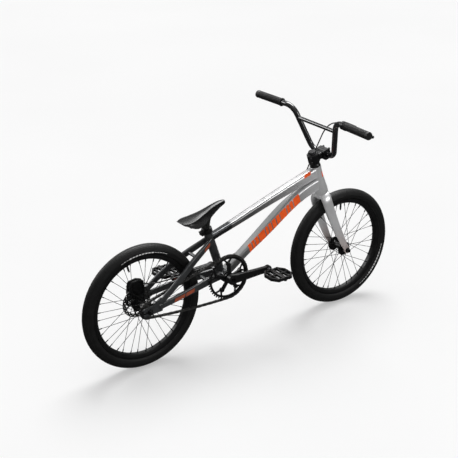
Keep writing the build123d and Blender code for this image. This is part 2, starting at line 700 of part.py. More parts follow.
cups = []
for side in (1, -1):
    cup = disc(BB, side * 18, side * 34, 20.5, 18.5) + disc(BB, side * 34, side * 41, 22.0, 18.5)
    cups += [cup, disc(BB, side * 33, side * 40.5, 18.5, 12.0 + RUNNING)]
save("bottom_bracket_cups", *cups)

save("crank_spindle", disc(BB, -74, 74, 12.0, 9.0))


def crank(side):
    """An arm that tapers from the spindle to the pedal; the left one points backward."""
    way = 1 if side < 0 else -1
    mid = side * (CRANK_OUTER - 8)
    sections = []
    for reach, height, thick in ((-4, 37, 16), (30, 36, 16), (95, 31, 15), (CRANK_LENGTH + 2, 28, 14)):
        plane = Plane(origin=(BB_X + way * reach, mid, BB_Z), x_dir=(0, 1, 0), z_dir=(way, 0, 0))
        sections.append(plane * RectangleRounded(thick, height, 4))
    arm = loft(sections)
    tip = (BB_X + way * CRANK_LENGTH, 0, BB_Z)
    arm += disc(BB, mid - 9, mid + 9, 20)
    arm += disc(tip, mid - 7, mid + 7, 15)
    arm += disc(BB, side * 50, side * 64, 17)
    arm -= disc(BB, side * 40, side * 74, 12)
    arm -= disc(BB, side * 74, side * 90, 9)
    arm -= disc(tip, -90, 90, 7)
    return arm


crank_right = crank(-1)
crank_left = crank(1)


# ---------------------------------------------------------------- chain

def pitch_radius(teeth):
    return CHAIN_PITCH / 2 / math.sin(math.pi / teeth)


RING_R, COG_R = pitch_radius(RING_TEETH), pitch_radius(COG_TEETH)
cog = (REAR_AXLE[0], REAR_AXLE[2])
centre_gap = math.dist((BB_X, BB_Z), cog)
centre_tilt = math.degrees(math.atan2(BB_Z - REAR_AXLE[2], BB_X - REAR_AXLE[0]))
lean = math.degrees(math.asin((RING_R - COG_R) / centre_gap))


def chord_arc(start, end, count):
    """Points of a sagging arc from start to end, in chords of one pitch."""
    span = math.dist(start, end)
    low, high = 1e-5, 1.5
    for _ in range(60):
        half_step = (low + high) / 2
        reach = CHAIN_PITCH * math.sin(count * half_step) / math.sin(half_step)
        if reach > span:
            low = half_step
        else:
            high = half_step
    heading = math.atan2(end[1] - start[1], end[0] - start[0])
    points = [start]
    for k in range(count):
        turn = heading + (2 * k + 1 - count) * half_step * SAG_SIDE
        x, z = points[-1]
        points.append((x + CHAIN_PITCH * math.cos(turn), z + CHAIN_PITCH * math.sin(turn)))
    return points


ring_start = centre_tilt + 90 + lean
pins = []
step = 360 / RING_TEETH
ring_count = int((180 + 2 * lean) / step) + 1
for k in range(ring_count):
    p = polar(BB, RING_R, ring_start - k * step, 0)
    pins.append((p.X, p.Z))
top_pin = pins[0]
run_way = math.radians(centre_tilt + lean)
upper = []
point = top_pin
while True:
    point = (point[0] - CHAIN_PITCH * math.cos(run_way), point[1] - CHAIN_PITCH * math.sin(run_way))
    along = (point[0] - cog[0]) * math.cos(run_way) + (point[1] - cog[1]) * math.sin(run_way)
    if along < 0:
        break
    upper.append(point)
last = upper[-1]
reach = math.dist(last, cog)
bearing_angle = math.atan2(last[1] - cog[1], last[0] - cog[0])
open_angle = math.acos((reach**2 + COG_R**2 - CHAIN_PITCH**2) / (2 * reach * COG_R))
cog_start = math.degrees(bearing_angle + open_angle)
cog_step = 360 / COG_TEETH
cog_end = centre_tilt + 270 - lean
cog_pins = []
k = 0
while cog_start + k * cog_step <= cog_end + cog_step / 2:
    p = polar(REAR_AXLE, COG_R, cog_start + k * cog_step, 0)
    cog_pins.append((p.X, p.Z))
    k += 1
low_start, low_end = pins[-1], cog_pins[-1]
low_count = math.ceil(math.dist(low_start, low_end) / CHAIN_PITCH)
lower = chord_arc(low_start, low_end, low_count)[1:-1]
loop = pins + lower + list(reversed(cog_pins)) + list(reversed(upper))
print("chain pins", len(loop), "slack", low_count * CHAIN_PITCH - math.dist(low_start, low_end))


def link(a, b, outer):
    """One chain link in the plane of the chain, between two pins."""
    length = math.dist(a, b)
    heading = math.degrees(math.atan2(b[1] - a[1], b[0] - a[0]))
    plate = SlotCenterToCenter(length, 8.2)
    inside, outside = (3.3, 4.3) if outer else (2.2, 3.2)
    solid = None
    for side in (1, -1):
        cheek = extrude(plate, amount=outside - inside)
        cheek = Pos(0, 0, inside if side > 0 else -outside) * cheek
        solid = cheek if solid is None else solid + cheek
    for x in (-length / 2, length / 2):
        if outer:
            solid += Pos(x, 0, 0) * Cylinder(1.8, 8.0)
        else:
            solid += Pos(x, 0, 0) * Cylinder(ROLLER_RADIUS, 5.4)
            solid -= Pos(x, 0, 0) * Cylinder(1.85, 10)
    centre = ((a[0] + b[0]) / 2, CHAIN_LINE, (a[1] + b[1]) / 2)
    return Pos(*centre) * Rot(0, -heading, 0) * Rot(90, 0, 0) * solid


links = []
for i, a in enumerate(loop):
    b = loop[(i + 1) % len(loop)]
    links.append(link(a, b, i % 2 == 0))
save("chain", *links)


def toothed(teeth, pitch, phase, thick, bore):
    """A sprocket disc about the Y axis: roller seats cut into a disc of tip height."""
    face = Circle(pitch + TOOTH_HEIGHT)
    mouth = SEAT_RADIUS + 2.0
    opening = make_face(Polyline((0, -SEAT_RADIUS), (4, -mouth), (4, mouth), (0, SEAT_RADIUS), close=True))
    for k in range(teeth):
        at = phase + k * 360 / teeth
        place = Rot(0, 0, at) * Pos(pitch, 0)
        face -= place * Circle(SEAT_RADIUS)
        face -= place * opening
    face -= Circle(bore)
    return Rot(90, 0, 0) * extrude(face, amount=thick / 2, both=True)


ring = Pos(BB_X, CHAIN_LINE, BB_Z) * toothed(RING_TEETH, RING_R, ring_start, 3.0, 76)
BOLT_CIRCLE = 55.0
RING_INNER, RING_OUTER = CHAIN_LINE + 1.5, CHAIN_LINE - 1.5
ARM_ANGLES = [90 + 72 * k for k in range(5)]
ring_bolts = []
for angle in ARM_ANGLES:
    tab = polar(BB, BOLT_CIRCLE + 2, angle, CHAIN_LINE)
    for spread in (-12, 12):
        outer = polar(BB, 78, angle + spread, CHAIN_LINE)
        mid = (tab + outer) * 0.5
        turn = -math.degrees(math.atan2(outer.Z - tab.Z, outer.X - tab.X))
        ring += Pos(*mid) * Rot(0, turn, 0) * Box((outer - tab).length + 2, 3, 7)
    ring += disc(tab, RING_OUTER, RING_INNER, 8.5)
    bolt_at = polar(BB, BOLT_CIRCLE, angle, 0)
    ring -= disc(bolt_at, -60, -30, 5.0)
    ring_bolt = disc(bolt_at, -56, RING_INNER, 5.0)
    ring_bolts.append(ring_bolt + disc(bolt_at, RING_INNER, RING_INNER + 1.5, 7.0))
save("chainring", ring)

spider = disc(BB, -56, -48, 22)
for angle in ARM_ANGLES:
    hub_point = polar(BB, 18, angle, -51)
    tab = polar(BB, BOLT_CIRCLE, angle, -51)
    mid = (hub_point + tab) * 0.5
    turn = -math.degrees(math.atan2(tab.Z - hub_point.Z, tab.X - hub_point.X))
    spider += Pos(*mid) * Rot(0, turn, 0) * Box((tab - hub_point).length, 8, 13)
    spider += disc(tab, -55, RING_OUTER, 8)
for angle in ARM_ANGLES:
    bolt_at = polar(BB, BOLT_CIRCLE, angle, 0)
    spider -= disc(bolt_at, -60, -40, 5.0)
crank_right += spider
crank_right -= disc(BB, -74, -30, 12)
save("crank_right", crank_right)
save("crank_left", crank_left)
axle_bolts = []
for side in (1, -1):
    bolt = disc(BB, side * 50, side * 76, 9.0) + disc(BB, side * 74, side * 77, 9.0)
    bolt -= disc(BB, side * 70, side * 80, 4.0)
    axle_bolts.append(bolt)
save("crank_bolts", *axle_bolts, *ring_bolts)

cog_plate = Pos(REAR_AXLE[0], CHAIN_LINE, REAR_AXLE[2]) * toothed(COG_TEETH, COG_R, cog_start, 3.0, 16)
save("rear_cog", cog_plate)
cog_inner, cog_outer = CHAIN_LINE + 1.5, CHAIN_LINE - 1.5
driver = disc(REAR_AXLE, -30.5, cog_inner, 19, 13) + disc(REAR_AXLE, cog_inner, cog_outer, 16, 13)
driver += disc(REAR_AXLE, cog_outer, -51, 19, 13)
save("freehub_driver", driver, bearing(REAR_AXLE, -51, -43, 5.0), bearing(REAR_AXLE, -39, -31, 5.0))


# ---------------------------------------------------------------- pedals

def pedal_place(side):
    """The pedal's axis: the right crank points forward and the left one backward."""
    return (BB_X - side * CRANK_LENGTH, 0, BB_Z)


def pedal(side):
    corner = [(-50, -22), (-32, -48), (32, -48), (50, -22)]
    outline = corner + [(x, -y) for x, y in reversed(corner)]
    outer = make_face(Polyline(*outline, close=True))
    inner = offset(outer, -7, kind=Kind.INTERSECTION)
    frame_ring = extrude(outer - inner, amount=6, both=True)
    body = frame_ring + Rot(90, 0, 0) * Cylinder(9.5, 94)
    for x in (-26, 26):
        body += Pos(x, 0, 0) * Box(6, 84, 9)
    body += Box(84, 8, 9)
    body -= Rot(90, 0, 0) * Cylinder(5.5 + RUNNING, 130)
    for x in (-46, 46):
        for y in (-16, 0, 16):
            body += Pos(x, y, 0) * Cylinder(1.8, 18)
    for x in (-24, 24):
        for y in (-44, 44):
            body += Pos(x, y, 0) * Cylinder(1.8, 18)
    cap = Rot(90, 0, 0) * Cylinder(9.5, 3)
    body += Pos(0, side * 48.5, 0) * cap
    x, _, z = pedal_place(side)
    return Pos(x, side * PEDAL_CENTRE, z) * body


def pedal_axle(side):
    centre = pedal_place(side)
    axle = disc(centre, side * 64.5, side * 80, 7.0) + disc(centre, side * 80, side * 84, 9.5)
    return axle + disc(centre, side * 84, side * 186, 5.5)


save("pedal_right", pedal(-1))
save("pedal_left", pedal(1))
save("pedal_axles", pedal_axle(-1), pedal_axle(1))


# ---------------------------------------------------------------- rear brake

CALIPER_OUTLINE = [(-511, 292), (-508, 318), (-497, 336), (-472, 340)]
CALIPER_OUTLINE += [(-452, 333), (-446, 312), (-449, 288), (-474, 284)]
caliper = slab(CALIPER_OUTLINE, 28, DROPOUT_INNER, 4)
caliper -= slab([(-540, 240), (-540, 318), (-420, 318), (-420, 240)], 35, 45)
PAD_AT = (-478, 0, 298)
PISTON_RADIUS = 9.0
caliper -= disc(PAD_AT, 31, 46, PISTON_RADIUS + RUNNING)
caliper -= disc(PAD_AT, 44, 51, PISTON_RADIUS + RUNNING)
caliper_parts = []
for x, z in CALIPER_BOLTS:
    caliper -= rod((x, 46.5, z), (x, 70, z), 3.0)
    caliper_parts.append(rod((x, 47, z), (x, 61, z), 3.0) + rod((x, 61, z), (x, 65, z), 5.0))
for k in range(4):
    caliper -= Pos(-492 + 9 * k, 41, 339) * Box(4, 60, 10)
save("brake_caliper", caliper, *caliper_parts)
pad_shape = [(-493, 289), (-463, 289), (-463, 308), (-493, 308)]
save("brake_pad_inner", slab(pad_shape, 35.2, 38.3, 2) + disc(PAD_AT, 31.8, 36, PISTON_RADIUS))
save("brake_pad_outer", slab(pad_shape, 41.7, 44.8, 2) + disc(PAD_AT, 44, 50.2, PISTON_RADIUS))

tensioners = []
for side in (1, -1):
    screw = rod((-512, side * 58, 250), (-488, side * 58, 250), 2.5)
    end_plate = Pos(-508, side * 58, 250) * Box(4, 10, 26)
    tensioners.append(screw + end_plate)
save("chain_tensioners", *tensioners)


# ---------------------------------------------------------------- seat

clamp_ring = rod(at_seat(0, 0, SEAT_TUBE_TOP - 14), at_seat(0, 0, SEAT_TUBE_TOP + 1), 21.0, SEAT_TUBE_RADIUS)
clamp_ring += rod(at_seat(0, 0, SEAT_TUBE_TOP), at_seat(0, 0, SEAT_TUBE_TOP + 3), 21.0, POST_RADIUS + 0.6)
lug = SEAT * Pos(-24, 0, SEAT_TUBE_TOP - 5.5) * Box(13, 20, 15)
clamp_ring += lug
clamp_ring -= rod(at_seat(0, 0, SEAT_TUBE_TOP - 20), at_seat(0, 0, SEAT_TUBE_TOP), SEAT_TUBE_RADIUS)
clamp_ring -= rod(at_seat(0, 0, SEAT_TUBE_TOP - 20), at_seat(0, 0, SEAT_TUBE_TOP + 8), POST_RADIUS + 0.6)
clamp_ring -= SEAT * Pos(-30, 0, SEAT_TUBE_TOP - 4) * Box(40, 2, 30)
clamp_bolt = rod(at_seat(-25, -14, SEAT_TUBE_TOP - 6), at_seat(-25, 12, SEAT_TUBE_TOP - 6), 3.0)
clamp_ring -= clamp_bolt
clamp_bolt += rod(at_seat(-25, -14, SEAT_TUBE_TOP - 6), at_seat(-25, -10, SEAT_TUBE_TOP - 6), 5.5)
save("seat_clamp", clamp_ring, clamp_bolt)

POST_TOP = 236.0
HINGE = at_seat(0, 0, POST_TOP)
post = rod(at_seat(0, 0, 130), at_seat(0, 0, POST_TOP - 6), POST_RADIUS)
post += rod((HINGE.X, -13, HINGE.Z), (HINGE.X, 13, HINGE.Z), 11)
post -= rod((HINGE.X, -20, HINGE.Z), (HINGE.X, 20, HINGE.Z), 4.0 + RUNNING)
save("seat_post", post)

# Saddle: (x, half width of the top, its height, half width below, underside), nose first
SADDLE = [
    (-99, 7, 590, 8, 580),
    (-125, 10, 589, 13, 570),
    (-165, 14, 577, 19, 546),
    (-205, 20, 562.5, 33, 527),
    (-245, 30, 551.5, 46, 521),
    (-275, 34, 546.5, 45, 532),
    (-297, 24, 543, 30, 539),
]
saddle_sections = []
for x, half, top, skirt, bottom in SADDLE:
    crown = ThreePointArc((-half, top), (0, top + 2.5), (half, top))
    left = Line((-half, top), (-skirt, bottom))
    base = Line((-skirt, bottom), (skirt, bottom))
    right = Line((skirt, bottom), (half, top))
    outline = make_face([crown, left, base, right])
    section_plane = Plane(origin=(x, 0, 0), x_dir=(0, 1, 0), z_dir=(1, 0, 0))
    saddle_sections.append(section_plane * outline)
cover = loft(saddle_sections)
keel = [(-160, 564), (-166, 548), (-174, 530), (-178, 505), (-200, 503)]
keel += [(-214, 508), (-262, 517), (-262, 530), (-205, 530)]
saddle_base = slab(keel, -17, 17)
saddle_base -= cover
saddle_base -= rod((HINGE.X, -30, HINGE.Z), (HINGE.X, 30, HINGE.Z), 4.0)
saddle_base -= rod((HINGE.X, -13.5, HINGE.Z), (HINGE.X, 13.5, HINGE.Z), 11.5)
saddle_base -= rod(at_seat(0, 0, 190), at_seat(0, 0, POST_TOP), POST_RADIUS + 0.5)
saddle_base -= SEAT * Pos(0, 0, 220) * Box(34, 27, 30)
pivot_bolt = rod((HINGE.X, -20, HINGE.Z), (HINGE.X, 20, HINGE.Z), 4.0)
save("saddle_cover", cover)
save("saddle_base", saddle_base, pivot_bolt)


# ---------------------------------------------------------------- brake hose

def hose(points, radii):
    path = FilletPolyline(*points, radius=radii)
    start = Plane(origin=path @ 0, z_dir=path % 0)
    return sweep(start * Circle(HOSE_RADIUS), path=path)


def bend_radii(points):
    """The largest arc that the shorter run beside each corner leaves room for."""
    radii = []
    for a, b, c in zip(points[:-2], points[1:-1], points[2:]):
        before, after = Vector(*b) - Vector(*a), Vector(*c) - Vector(*b)
        turn = math.radians(before.get_angle(after))
        radii.append(0.45 * min(before.length, after.length) / math.tan(turn / 2))
    print("hose radii", [round(r, 1) for r in radii])
    return radii


hose_exit = at_lever(30, -22, 6)
bent = at_lever(30, -50, 6)
HOSE_FREE = [
    (hose_exit.X, hose_exit.Y, hose_exit.Z),
    (bent.X, bent.Y, bent.Z),
    (357, -114, 841),
    (361, -64, 822),
    (363, -26, 786),
    (362, -1, 739),
    (358, 17, 699),
    (352, 30, 662),
    (342, 40, 626),
    (326, 42, 590),
    (302, 34, 560),
    (284, 22, 541),
]
HOSE_FRAME = [(284, 22, 541), (262.4, 7.6, 518.2), (206, 1, 487), (150, 0, 460), (100, 1, 426)]
HOSE_FRAME += [(50, 4, 391), (4, 10, 362), (-36, 24, 340), (-76, 34, 326), (-130, 38, 318)]
HOSE_FRAME += [(-190, 38, 311), (-250, 44, 303), (-310, 47, 300), (-368, 46, 301)]
HOSE_FRAME += [(-414, 44, 308), (-447, 42, 320)]
free_hose = hose(HOSE_FREE, bend_radii(HOSE_FREE))
frame_hose = hose(HOSE_FRAME, bend_radii(HOSE_FRAME))
port_upper = rod((293, 28, 550.5), (262.4, 7.6, 518.2), 4.0)
port_lower = rod((-12, 16, 351), (-56, 30, 333), 4.0)
down_tube -= port_upper
down_tube -= port_lower
save("down_tube", down_tube)
save("brake_hose_front", free_hose)
save("brake_hose_frame", frame_hose)
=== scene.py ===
import bmesh
import bpy
import math
from mathutils import Matrix, Vector
from mathutils.bvhtree import BVHTree


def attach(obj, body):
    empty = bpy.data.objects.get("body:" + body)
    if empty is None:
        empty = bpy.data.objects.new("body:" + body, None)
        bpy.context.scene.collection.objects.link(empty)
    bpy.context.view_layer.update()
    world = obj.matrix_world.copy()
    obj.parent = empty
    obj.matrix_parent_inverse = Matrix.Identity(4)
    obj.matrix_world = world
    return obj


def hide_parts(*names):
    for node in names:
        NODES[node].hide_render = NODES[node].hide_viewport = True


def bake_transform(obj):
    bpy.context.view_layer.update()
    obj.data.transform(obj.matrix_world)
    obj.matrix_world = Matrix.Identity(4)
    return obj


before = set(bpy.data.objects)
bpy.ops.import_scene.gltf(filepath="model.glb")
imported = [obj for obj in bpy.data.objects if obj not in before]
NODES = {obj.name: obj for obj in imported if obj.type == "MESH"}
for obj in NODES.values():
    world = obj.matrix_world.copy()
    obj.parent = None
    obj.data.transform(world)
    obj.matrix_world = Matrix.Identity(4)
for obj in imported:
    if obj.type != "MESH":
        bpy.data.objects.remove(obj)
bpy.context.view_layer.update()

# Sizes of the part, in metres
WHEEL_X = 0.4775
WHEEL_Z = 0.250
TYRE_SECTION = 0.0235
TYRE_MID = WHEEL_Z - TYRE_SECTION

# Name, body and place along X of each wheel, and sign along Y and name of each side
WHEELS = (("front", "front_wheel_body", WHEEL_X), ("rear", "rear_wheel_body", -WHEEL_X))
SIDES = ((-1, "right"), (1, "left"))


# ---------------------------------------------------------------- materials

# Size of the metallic flake in the paints, as a noise scale and a bump distance
FLAKE_SCALE = 2600.0
FLAKE_DEPTH = 0.0002
# Where the top tube's paint changes from charcoal to silver, along X
TOP_CHANGE = -0.075


class Graph:
    """A small helper round one material's node tree."""

    def __init__(self, name, **sockets):
        self.material = bpy.data.materials.new(name)
        self.material.use_nodes = True
        self.tree = self.material.node_tree
        self.shader = self.tree.nodes["Principled BSDF"]
        for socket, value in sockets.items():
            self.shader.inputs[socket.replace("_", " ")].default_value = value
        self.place = self.add("ShaderNodeTexCoord").outputs["Object"]

    def add(self, kind, **values):
        node = self.tree.nodes.new(kind)
        for key, value in values.items():
            if hasattr(node, key):
                setattr(node, key, value)
            else:
                node.inputs[key.replace("_", " ")].default_value = value
        return node

    def link(self, source, target):
        self.tree.links.new(source, target)

    def noise(self, scale, detail=4.0, stretch=None):
        node = self.add("ShaderNodeTexNoise", Scale=scale, Detail=detail)
        where = self.place
        if stretch:
            mapping = self.add("ShaderNodeMapping")
            mapping.inputs["Scale"].default_value = stretch
            self.link(where, mapping.inputs["Vector"])
            where = mapping.outputs["Vector"]
        self.link(where, node.inputs["Vector"])
        return node.outputs["Fac"]

    def ramp(self, factor, stops, smooth=False):
        node = self.add("ShaderNodeValToRGB")
        ramp = node.color_ramp
        if smooth:
            ramp.interpolation = "EASE"
        while len(ramp.elements) < len(stops):
            ramp.elements.new(0.5)
        for element, (at, colour) in zip(ramp.elements, stops):
            element.position = at
            element.color = (*colour, 1.0)
        self.link(factor, node.inputs["Fac"])
        return node.outputs["Color"]

    def span(self, factor, low, high, start=0.3, end=0.7):
        node = self.add("ShaderNodeMapRange")
        node.inputs["From Min"].default_value = start
        node.inputs["From Max"].default_value = end
        node.inputs["To Min"].default_value = low
        node.inputs["To Max"].default_value = high
        self.link(factor, node.inputs["Value"])
        return node.outputs["Result"]

    def mix(self, factor, first, second):
        node = self.add("ShaderNodeMix", data_type="RGBA")
        self.link(factor, node.inputs[0])
        for source, index in ((first, 6), (second, 7)):
            if isinstance(source, tuple):
                node.inputs[index].default_value = (*source, 1.0)
            else:
                self.link(source, node.inputs[index])
        return node.outputs[2]

    def bump(self, height, strength, distance):
        node = self.add("ShaderNodeBump")
        node.inputs["Strength"].default_value = strength
        node.inputs["Distance"].default_value = distance
        self.link(height, node.inputs["Height"])
        self.link(node.outputs["Normal"], self.shader.inputs["Normal"])

    def axis(self, name):
        split = self.add("ShaderNodeSeparateXYZ")
        self.link(self.place, split.inputs["Vector"])
        return split.outputs[name]


def finish_surface(graph, colour, rough, grain, strength, distance=0.0004):
    """Joins colour, roughness and bump to the shader."""
    graph.link(colour, graph.shader.inputs["Base Color"])
    graph.link(rough, graph.shader.inputs["Roughness"])
    graph.bump(grain, strength, distance)
    return graph.material


def mottled(name, dark, light, rough, scale, grain_scale, strength, **sockets):
    """A surface whose tone, gloss and fine grain all vary a little."""
    graph = Graph(name, **sockets)
    tone = graph.noise(scale, 5.0)
    grain = graph.noise(grain_scale, 6.0)
    colour = graph.ramp(tone, [(0.3, dark), (0.7, light)])
    gloss = graph.span(graph.noise(scale * 3, 3.0), rough[0], rough[1])
    return finish_surface(graph, colour, gloss, grain, strength)


def pale_paint():
    """Bright silver, a little warmer toward the foot of the fork."""
    graph = Graph("paint_pale", Metallic=0.5, Coat_Weight=0.2, Coat_Roughness=0.28)
    tone = graph.noise(9.0, 3.0)
    flake = graph.noise(FLAKE_SCALE, 2.0)
    base = graph.ramp(tone, [(0.3, (0.76, 0.76, 0.765)), (0.7, (0.84, 0.84, 0.845))])
    height = graph.span(graph.axis("Z"), 0.0, 1.0, 0.23, 0.36)
    colour = graph.mix(height, (0.80, 0.66, 0.62), base)
    return finish_surface(graph, colour, graph.span(tone, 0.34, 0.42), flake, 0.05, FLAKE_DEPTH)


def silver_paint():
    """Mid silver by the cranks, paler toward the head tube."""
    graph = Graph("paint_silver", Coat_Weight=0.3, Coat_Roughness=0.15)
    tone = graph.noise(9.0, 3.0)
    flake = graph.noise(FLAKE_SCALE, 2.0)
    base = graph.ramp(tone, [(0.3, (0.30, 0.305, 0.305)), (0.7, (0.35, 0.355, 0.355))])
    toward_head = graph.span(graph.axis("X"), 0.0, 1.0, 0.14, 0.32)
    colour = graph.mix(toward_head, base, (0.66, 0.66, 0.665))
    metal = graph.span(toward_head, 0.6, 0.35, 0.0, 1.0)
    graph.link(metal, graph.shader.inputs["Metallic"])
    return finish_surface(graph, colour, graph.span(tone, 0.28, 0.36), flake, 0.05, FLAKE_DEPTH)


def fading_paint_and_shade():
    """Charcoal at the seat end, silver toward the head, with painted shade in a dark band along
    both shoulders of the top and down the sides.
    """
    graph = Graph("paint_fade_and_shade", Coat_Weight=0.3, Coat_Roughness=0.12)
    tone = graph.noise(12.0, 4.0, (1.0, 1.0, 4.0))
    flake = graph.noise(FLAKE_SCALE, 2.0)
    silver = graph.ramp(tone, [(0.3, (0.46, 0.46, 0.465)), (0.7, (0.54, 0.54, 0.545))])
    length = graph.axis("X")
    toward_head = graph.span(length, 0.0, 1.0, 0.02, 0.31)
    silver = graph.mix(toward_head, silver, (0.72, 0.72, 0.725))
    # Painted shade: a dark band along both shoulders of the top, where the tube turns away from
    # the light.
    across = graph.add("ShaderNodeMath", operation="ABSOLUTE")
    graph.link(graph.axis("Y"), across.inputs[0])
    line = graph.span(across.outputs[0], 0.0, 1.0, 0.0080, 0.0110)
    shoulder_shade_tone = graph.mix(toward_head, (0.10, 0.10, 0.10), (0.45, 0.45, 0.455))
    silver = graph.mix(line, silver, shoulder_shade_tone)
    # Painted shade down the sides, darkest by the charcoal end.
    side = graph.span(across.outputs[0], 0.0, 1.0, 0.0145, 0.0160)
    side_shade_tone = graph.mix(toward_head, (0.26, 0.26, 0.26), (0.72, 0.72, 0.725))
    silver = graph.mix(side, silver, side_shade_tone)
    along = graph.span(length, 0.0, 1.0, TOP_CHANGE - 0.004, TOP_CHANGE + 0.004)
    colour = graph.mix(along, (0.050, 0.052, 0.055), silver)
    metal = graph.span(toward_head, 0.85, 0.35, 0.0, 1.0)
    graph.link(metal, graph.shader.inputs["Metallic"])
    return finish_surface(graph, colour, graph.span(tone, 0.26, 0.36), flake, 0.05, FLAKE_DEPTH)


def charcoal_paint():
    """Dark grey under a clear coat."""
    graph = Graph("paint_charcoal", Metallic=0.35, Coat_Weight=0.4, Coat_Roughness=0.15)
    tone = graph.noise(14.0, 4.0)
    flake = graph.noise(FLAKE_SCALE, 2.0)
    colour = graph.ramp(tone, [(0.3, (0.040, 0.042, 0.044)), (0.7, (0.058, 0.061, 0.064))])
    return finish_surface(graph, colour, graph.span(tone, 0.30, 0.42), flake, 0.06, FLAKE_DEPTH)


PAINT_PALE = pale_paint()
PAINT_SILVER = silver_paint()
PAINT_FADE_AND_SHADE = fading_paint_and_shade()
PAINT_CHARCOAL = charcoal_paint()
# Each: name, darkest and lightest tone, lowest and highest roughness, noise scale of the tone,
# noise scale of the grain, and strength of the grain
# The orange print also glows a little: painted light, not a lamp, that makes it brighter.
ORANGE_GLOWING = mottled(
    "graphic_orange_glowing", (0.84, 0.085, 0.004), (0.95, 0.12, 0.006), (0.40, 0.50), 40, 900, 0.04,
    Specular_IOR_Level=0.2, Emission_Color=(1.0, 0.10, 0.004, 1.0), Emission_Strength=0.12)
RUST_ORANGE = mottled(
    "graphic_rust", (0.34, 0.055, 0.015), (0.46, 0.08, 0.02), (0.34, 0.42), 40, 900, 0.04,
    Coat_Weight=0.4, Coat_Roughness=0.12)
BLACK_ALLOY = mottled(
    "black_alloy", (0.006, 0.006, 0.0065), (0.012, 0.012, 0.0125), (0.30, 0.44), 30, 1400, 0.12,
    Metallic=0.35, Specular_IOR_Level=0.5)
BLACK_GLOSS = mottled(
    "black_gloss", (0.006, 0.006, 0.007), (0.012, 0.012, 0.013), (0.14, 0.22), 25, 500, 0.03,
    Coat_Weight=0.6, Coat_Roughness=0.06)
RIM_BLACK = mottled(
    "rim_anodised", (0.006, 0.006, 0.0065), (0.012, 0.012, 0.0125), (0.30, 0.42), 35, 1200, 0.10,
    Metallic=0.4)
SPOKE_BLACK = mottled(
    "spoke_black", (0.003, 0.003, 0.003), (0.007, 0.007, 0.007), (0.45, 0.55), 60, 900, 0.05,
    Specular_IOR_Level=0.2)
STEEL = mottled(
    "bare_steel", (0.26, 0.26, 0.27), (0.36, 0.36, 0.37), (0.28, 0.42), 50, 1500, 0.15,
    Metallic=1.0)
DARK_STEEL = mottled(
    "dark_steel", (0.09, 0.088, 0.086), (0.15, 0.148, 0.145), (0.30, 0.50), 80, 1400, 0.2,
    Metallic=0.9)
TYRE_RUBBER = mottled(
    "tyre_rubber", (0.0045, 0.0045, 0.0045), (0.0085, 0.0085, 0.0085), (0.50, 0.64), 45, 700, 0.3,
    Specular_IOR_Level=0.32)
TUBE_RUBBER = mottled(
    "tube_rubber", (0.018, 0.018, 0.018), (0.03, 0.03, 0.03), (0.6, 0.75), 60, 600, 0.2)
GRIP_RUBBER = mottled(
    "grip_rubber", (0.006, 0.006, 0.006), (0.012, 0.012, 0.012), (0.48, 0.62), 90, 1100, 0.3)
MOULDED = mottled(
    "moulded_black", (0.006, 0.006, 0.006), (0.012, 0.012, 0.012), (0.36, 0.50), 70, 1300, 0.25)
SADDLE_SKIN = mottled(
    "saddle_skin", (0.004, 0.004, 0.0043), (0.014, 0.014, 0.0145), (0.24, 0.32), 60, 700, 0.05,
    Specular_IOR_Level=0.28)
PAD = mottled(
    "pad_compound", (0.10, 0.08, 0.07), (0.2, 0.17, 0.14), (0.7, 0.9), 300, 900, 0.5)
TYRE_MARK = mottled(
    "tyre_mark", (0.62, 0.62, 0.62), (0.82, 0.82, 0.82), (0.6, 0.75), 120, 900, 0.2)

# The CAD nodes that keep their own shape or stand behind a piece, under the look each has
LOOKS = {
    PAINT_PALE: "head_tube fork_crown fork_legs",
    PAINT_SILVER: "down_tube",
    PAINT_FADE_AND_SHADE: "top_tube",
    PAINT_CHARCOAL: "seat_tube bottom_bracket_shell chainstays seatstays rear_dropouts",
    BLACK_ALLOY: "seat_clamp front_hub rear_hub stem_body stem_faceplate headset_cover "
                 "stem_top_cap stem_bolts crank_right crank_left crank_bolts chainring "
                 "pedal_right pedal_left brake_caliper brake_lever_body brake_lever "
                 "bottom_bracket_cups chain_tensioners front_axle rear_axle",
    BLACK_GLOSS: "handlebar handlebar_crossbar seat_post",
    RIM_BLACK: "front_rim rear_rim",
    SPOKE_BLACK: "front_spokes rear_spokes",
    STEEL: "headset_bearings fork_steerer front_hub_bearings rear_hub_bearings crank_spindle "
           "pedal_axles",
    DARK_STEEL: "chain rear_cog freehub_driver brake_rotor",
    TYRE_RUBBER: "front_tyre rear_tyre",
    TUBE_RUBBER: "front_inner_tube rear_inner_tube",
    GRIP_RUBBER: "grips",
    MOULDED: "bar_end_plugs brake_hose_frame brake_hose_front saddle_base",
    SADDLE_SKIN: "saddle_cover",
    PAD: "brake_pad_inner brake_pad_outer",
}
for look, names in LOOKS.items():
    for name in names.split():
        materials = NODES[name].data.materials
        materials.clear()
        materials.append(look)


# ---------------------------------------------------------------- meshes

def mesh_piece(name, vertices, faces, look, body, smooth=True):
    """A new piece with one material, riding on a body if one is named."""
    mesh = bpy.data.meshes.new(name)
    mesh.from_pydata([tuple(v) for v in vertices], [], faces)
    mesh.validate()
    mesh.polygons.foreach_set("use_smooth", [smooth] * len(mesh.polygons))
    mesh.materials.append(look)
    piece = bpy.data.objects.new(name, mesh)
    bpy.context.scene.collection.objects.link(piece)
    if body:
        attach(piece, body)
    return piece


def ring_faces(rings, count, close_rings=True, close_section=True, first=0):
    """Quads between neighbouring rings of count vertices each, from vertex first on."""
    faces = []
    last = rings if close_rings else rings - 1
    across = count if close_section else count - 1
    for i in range(last):
        a, b = i * count, ((i + 1) % rings) * count
        for j in range(across):
            k = (j + 1) % count
            faces.append((first + a + j, first + a + k, first + b + k, first + b + j))
    return faces


def outward(piece):
    """Turns every face of a closed piece to face out."""
    shape = bmesh.new()
    shape.from_mesh(piece.data)
    bmesh.ops.recalc_face_normals(shape, faces=shape.faces)
    shape.to_mesh(piece.data)
    shape.free()


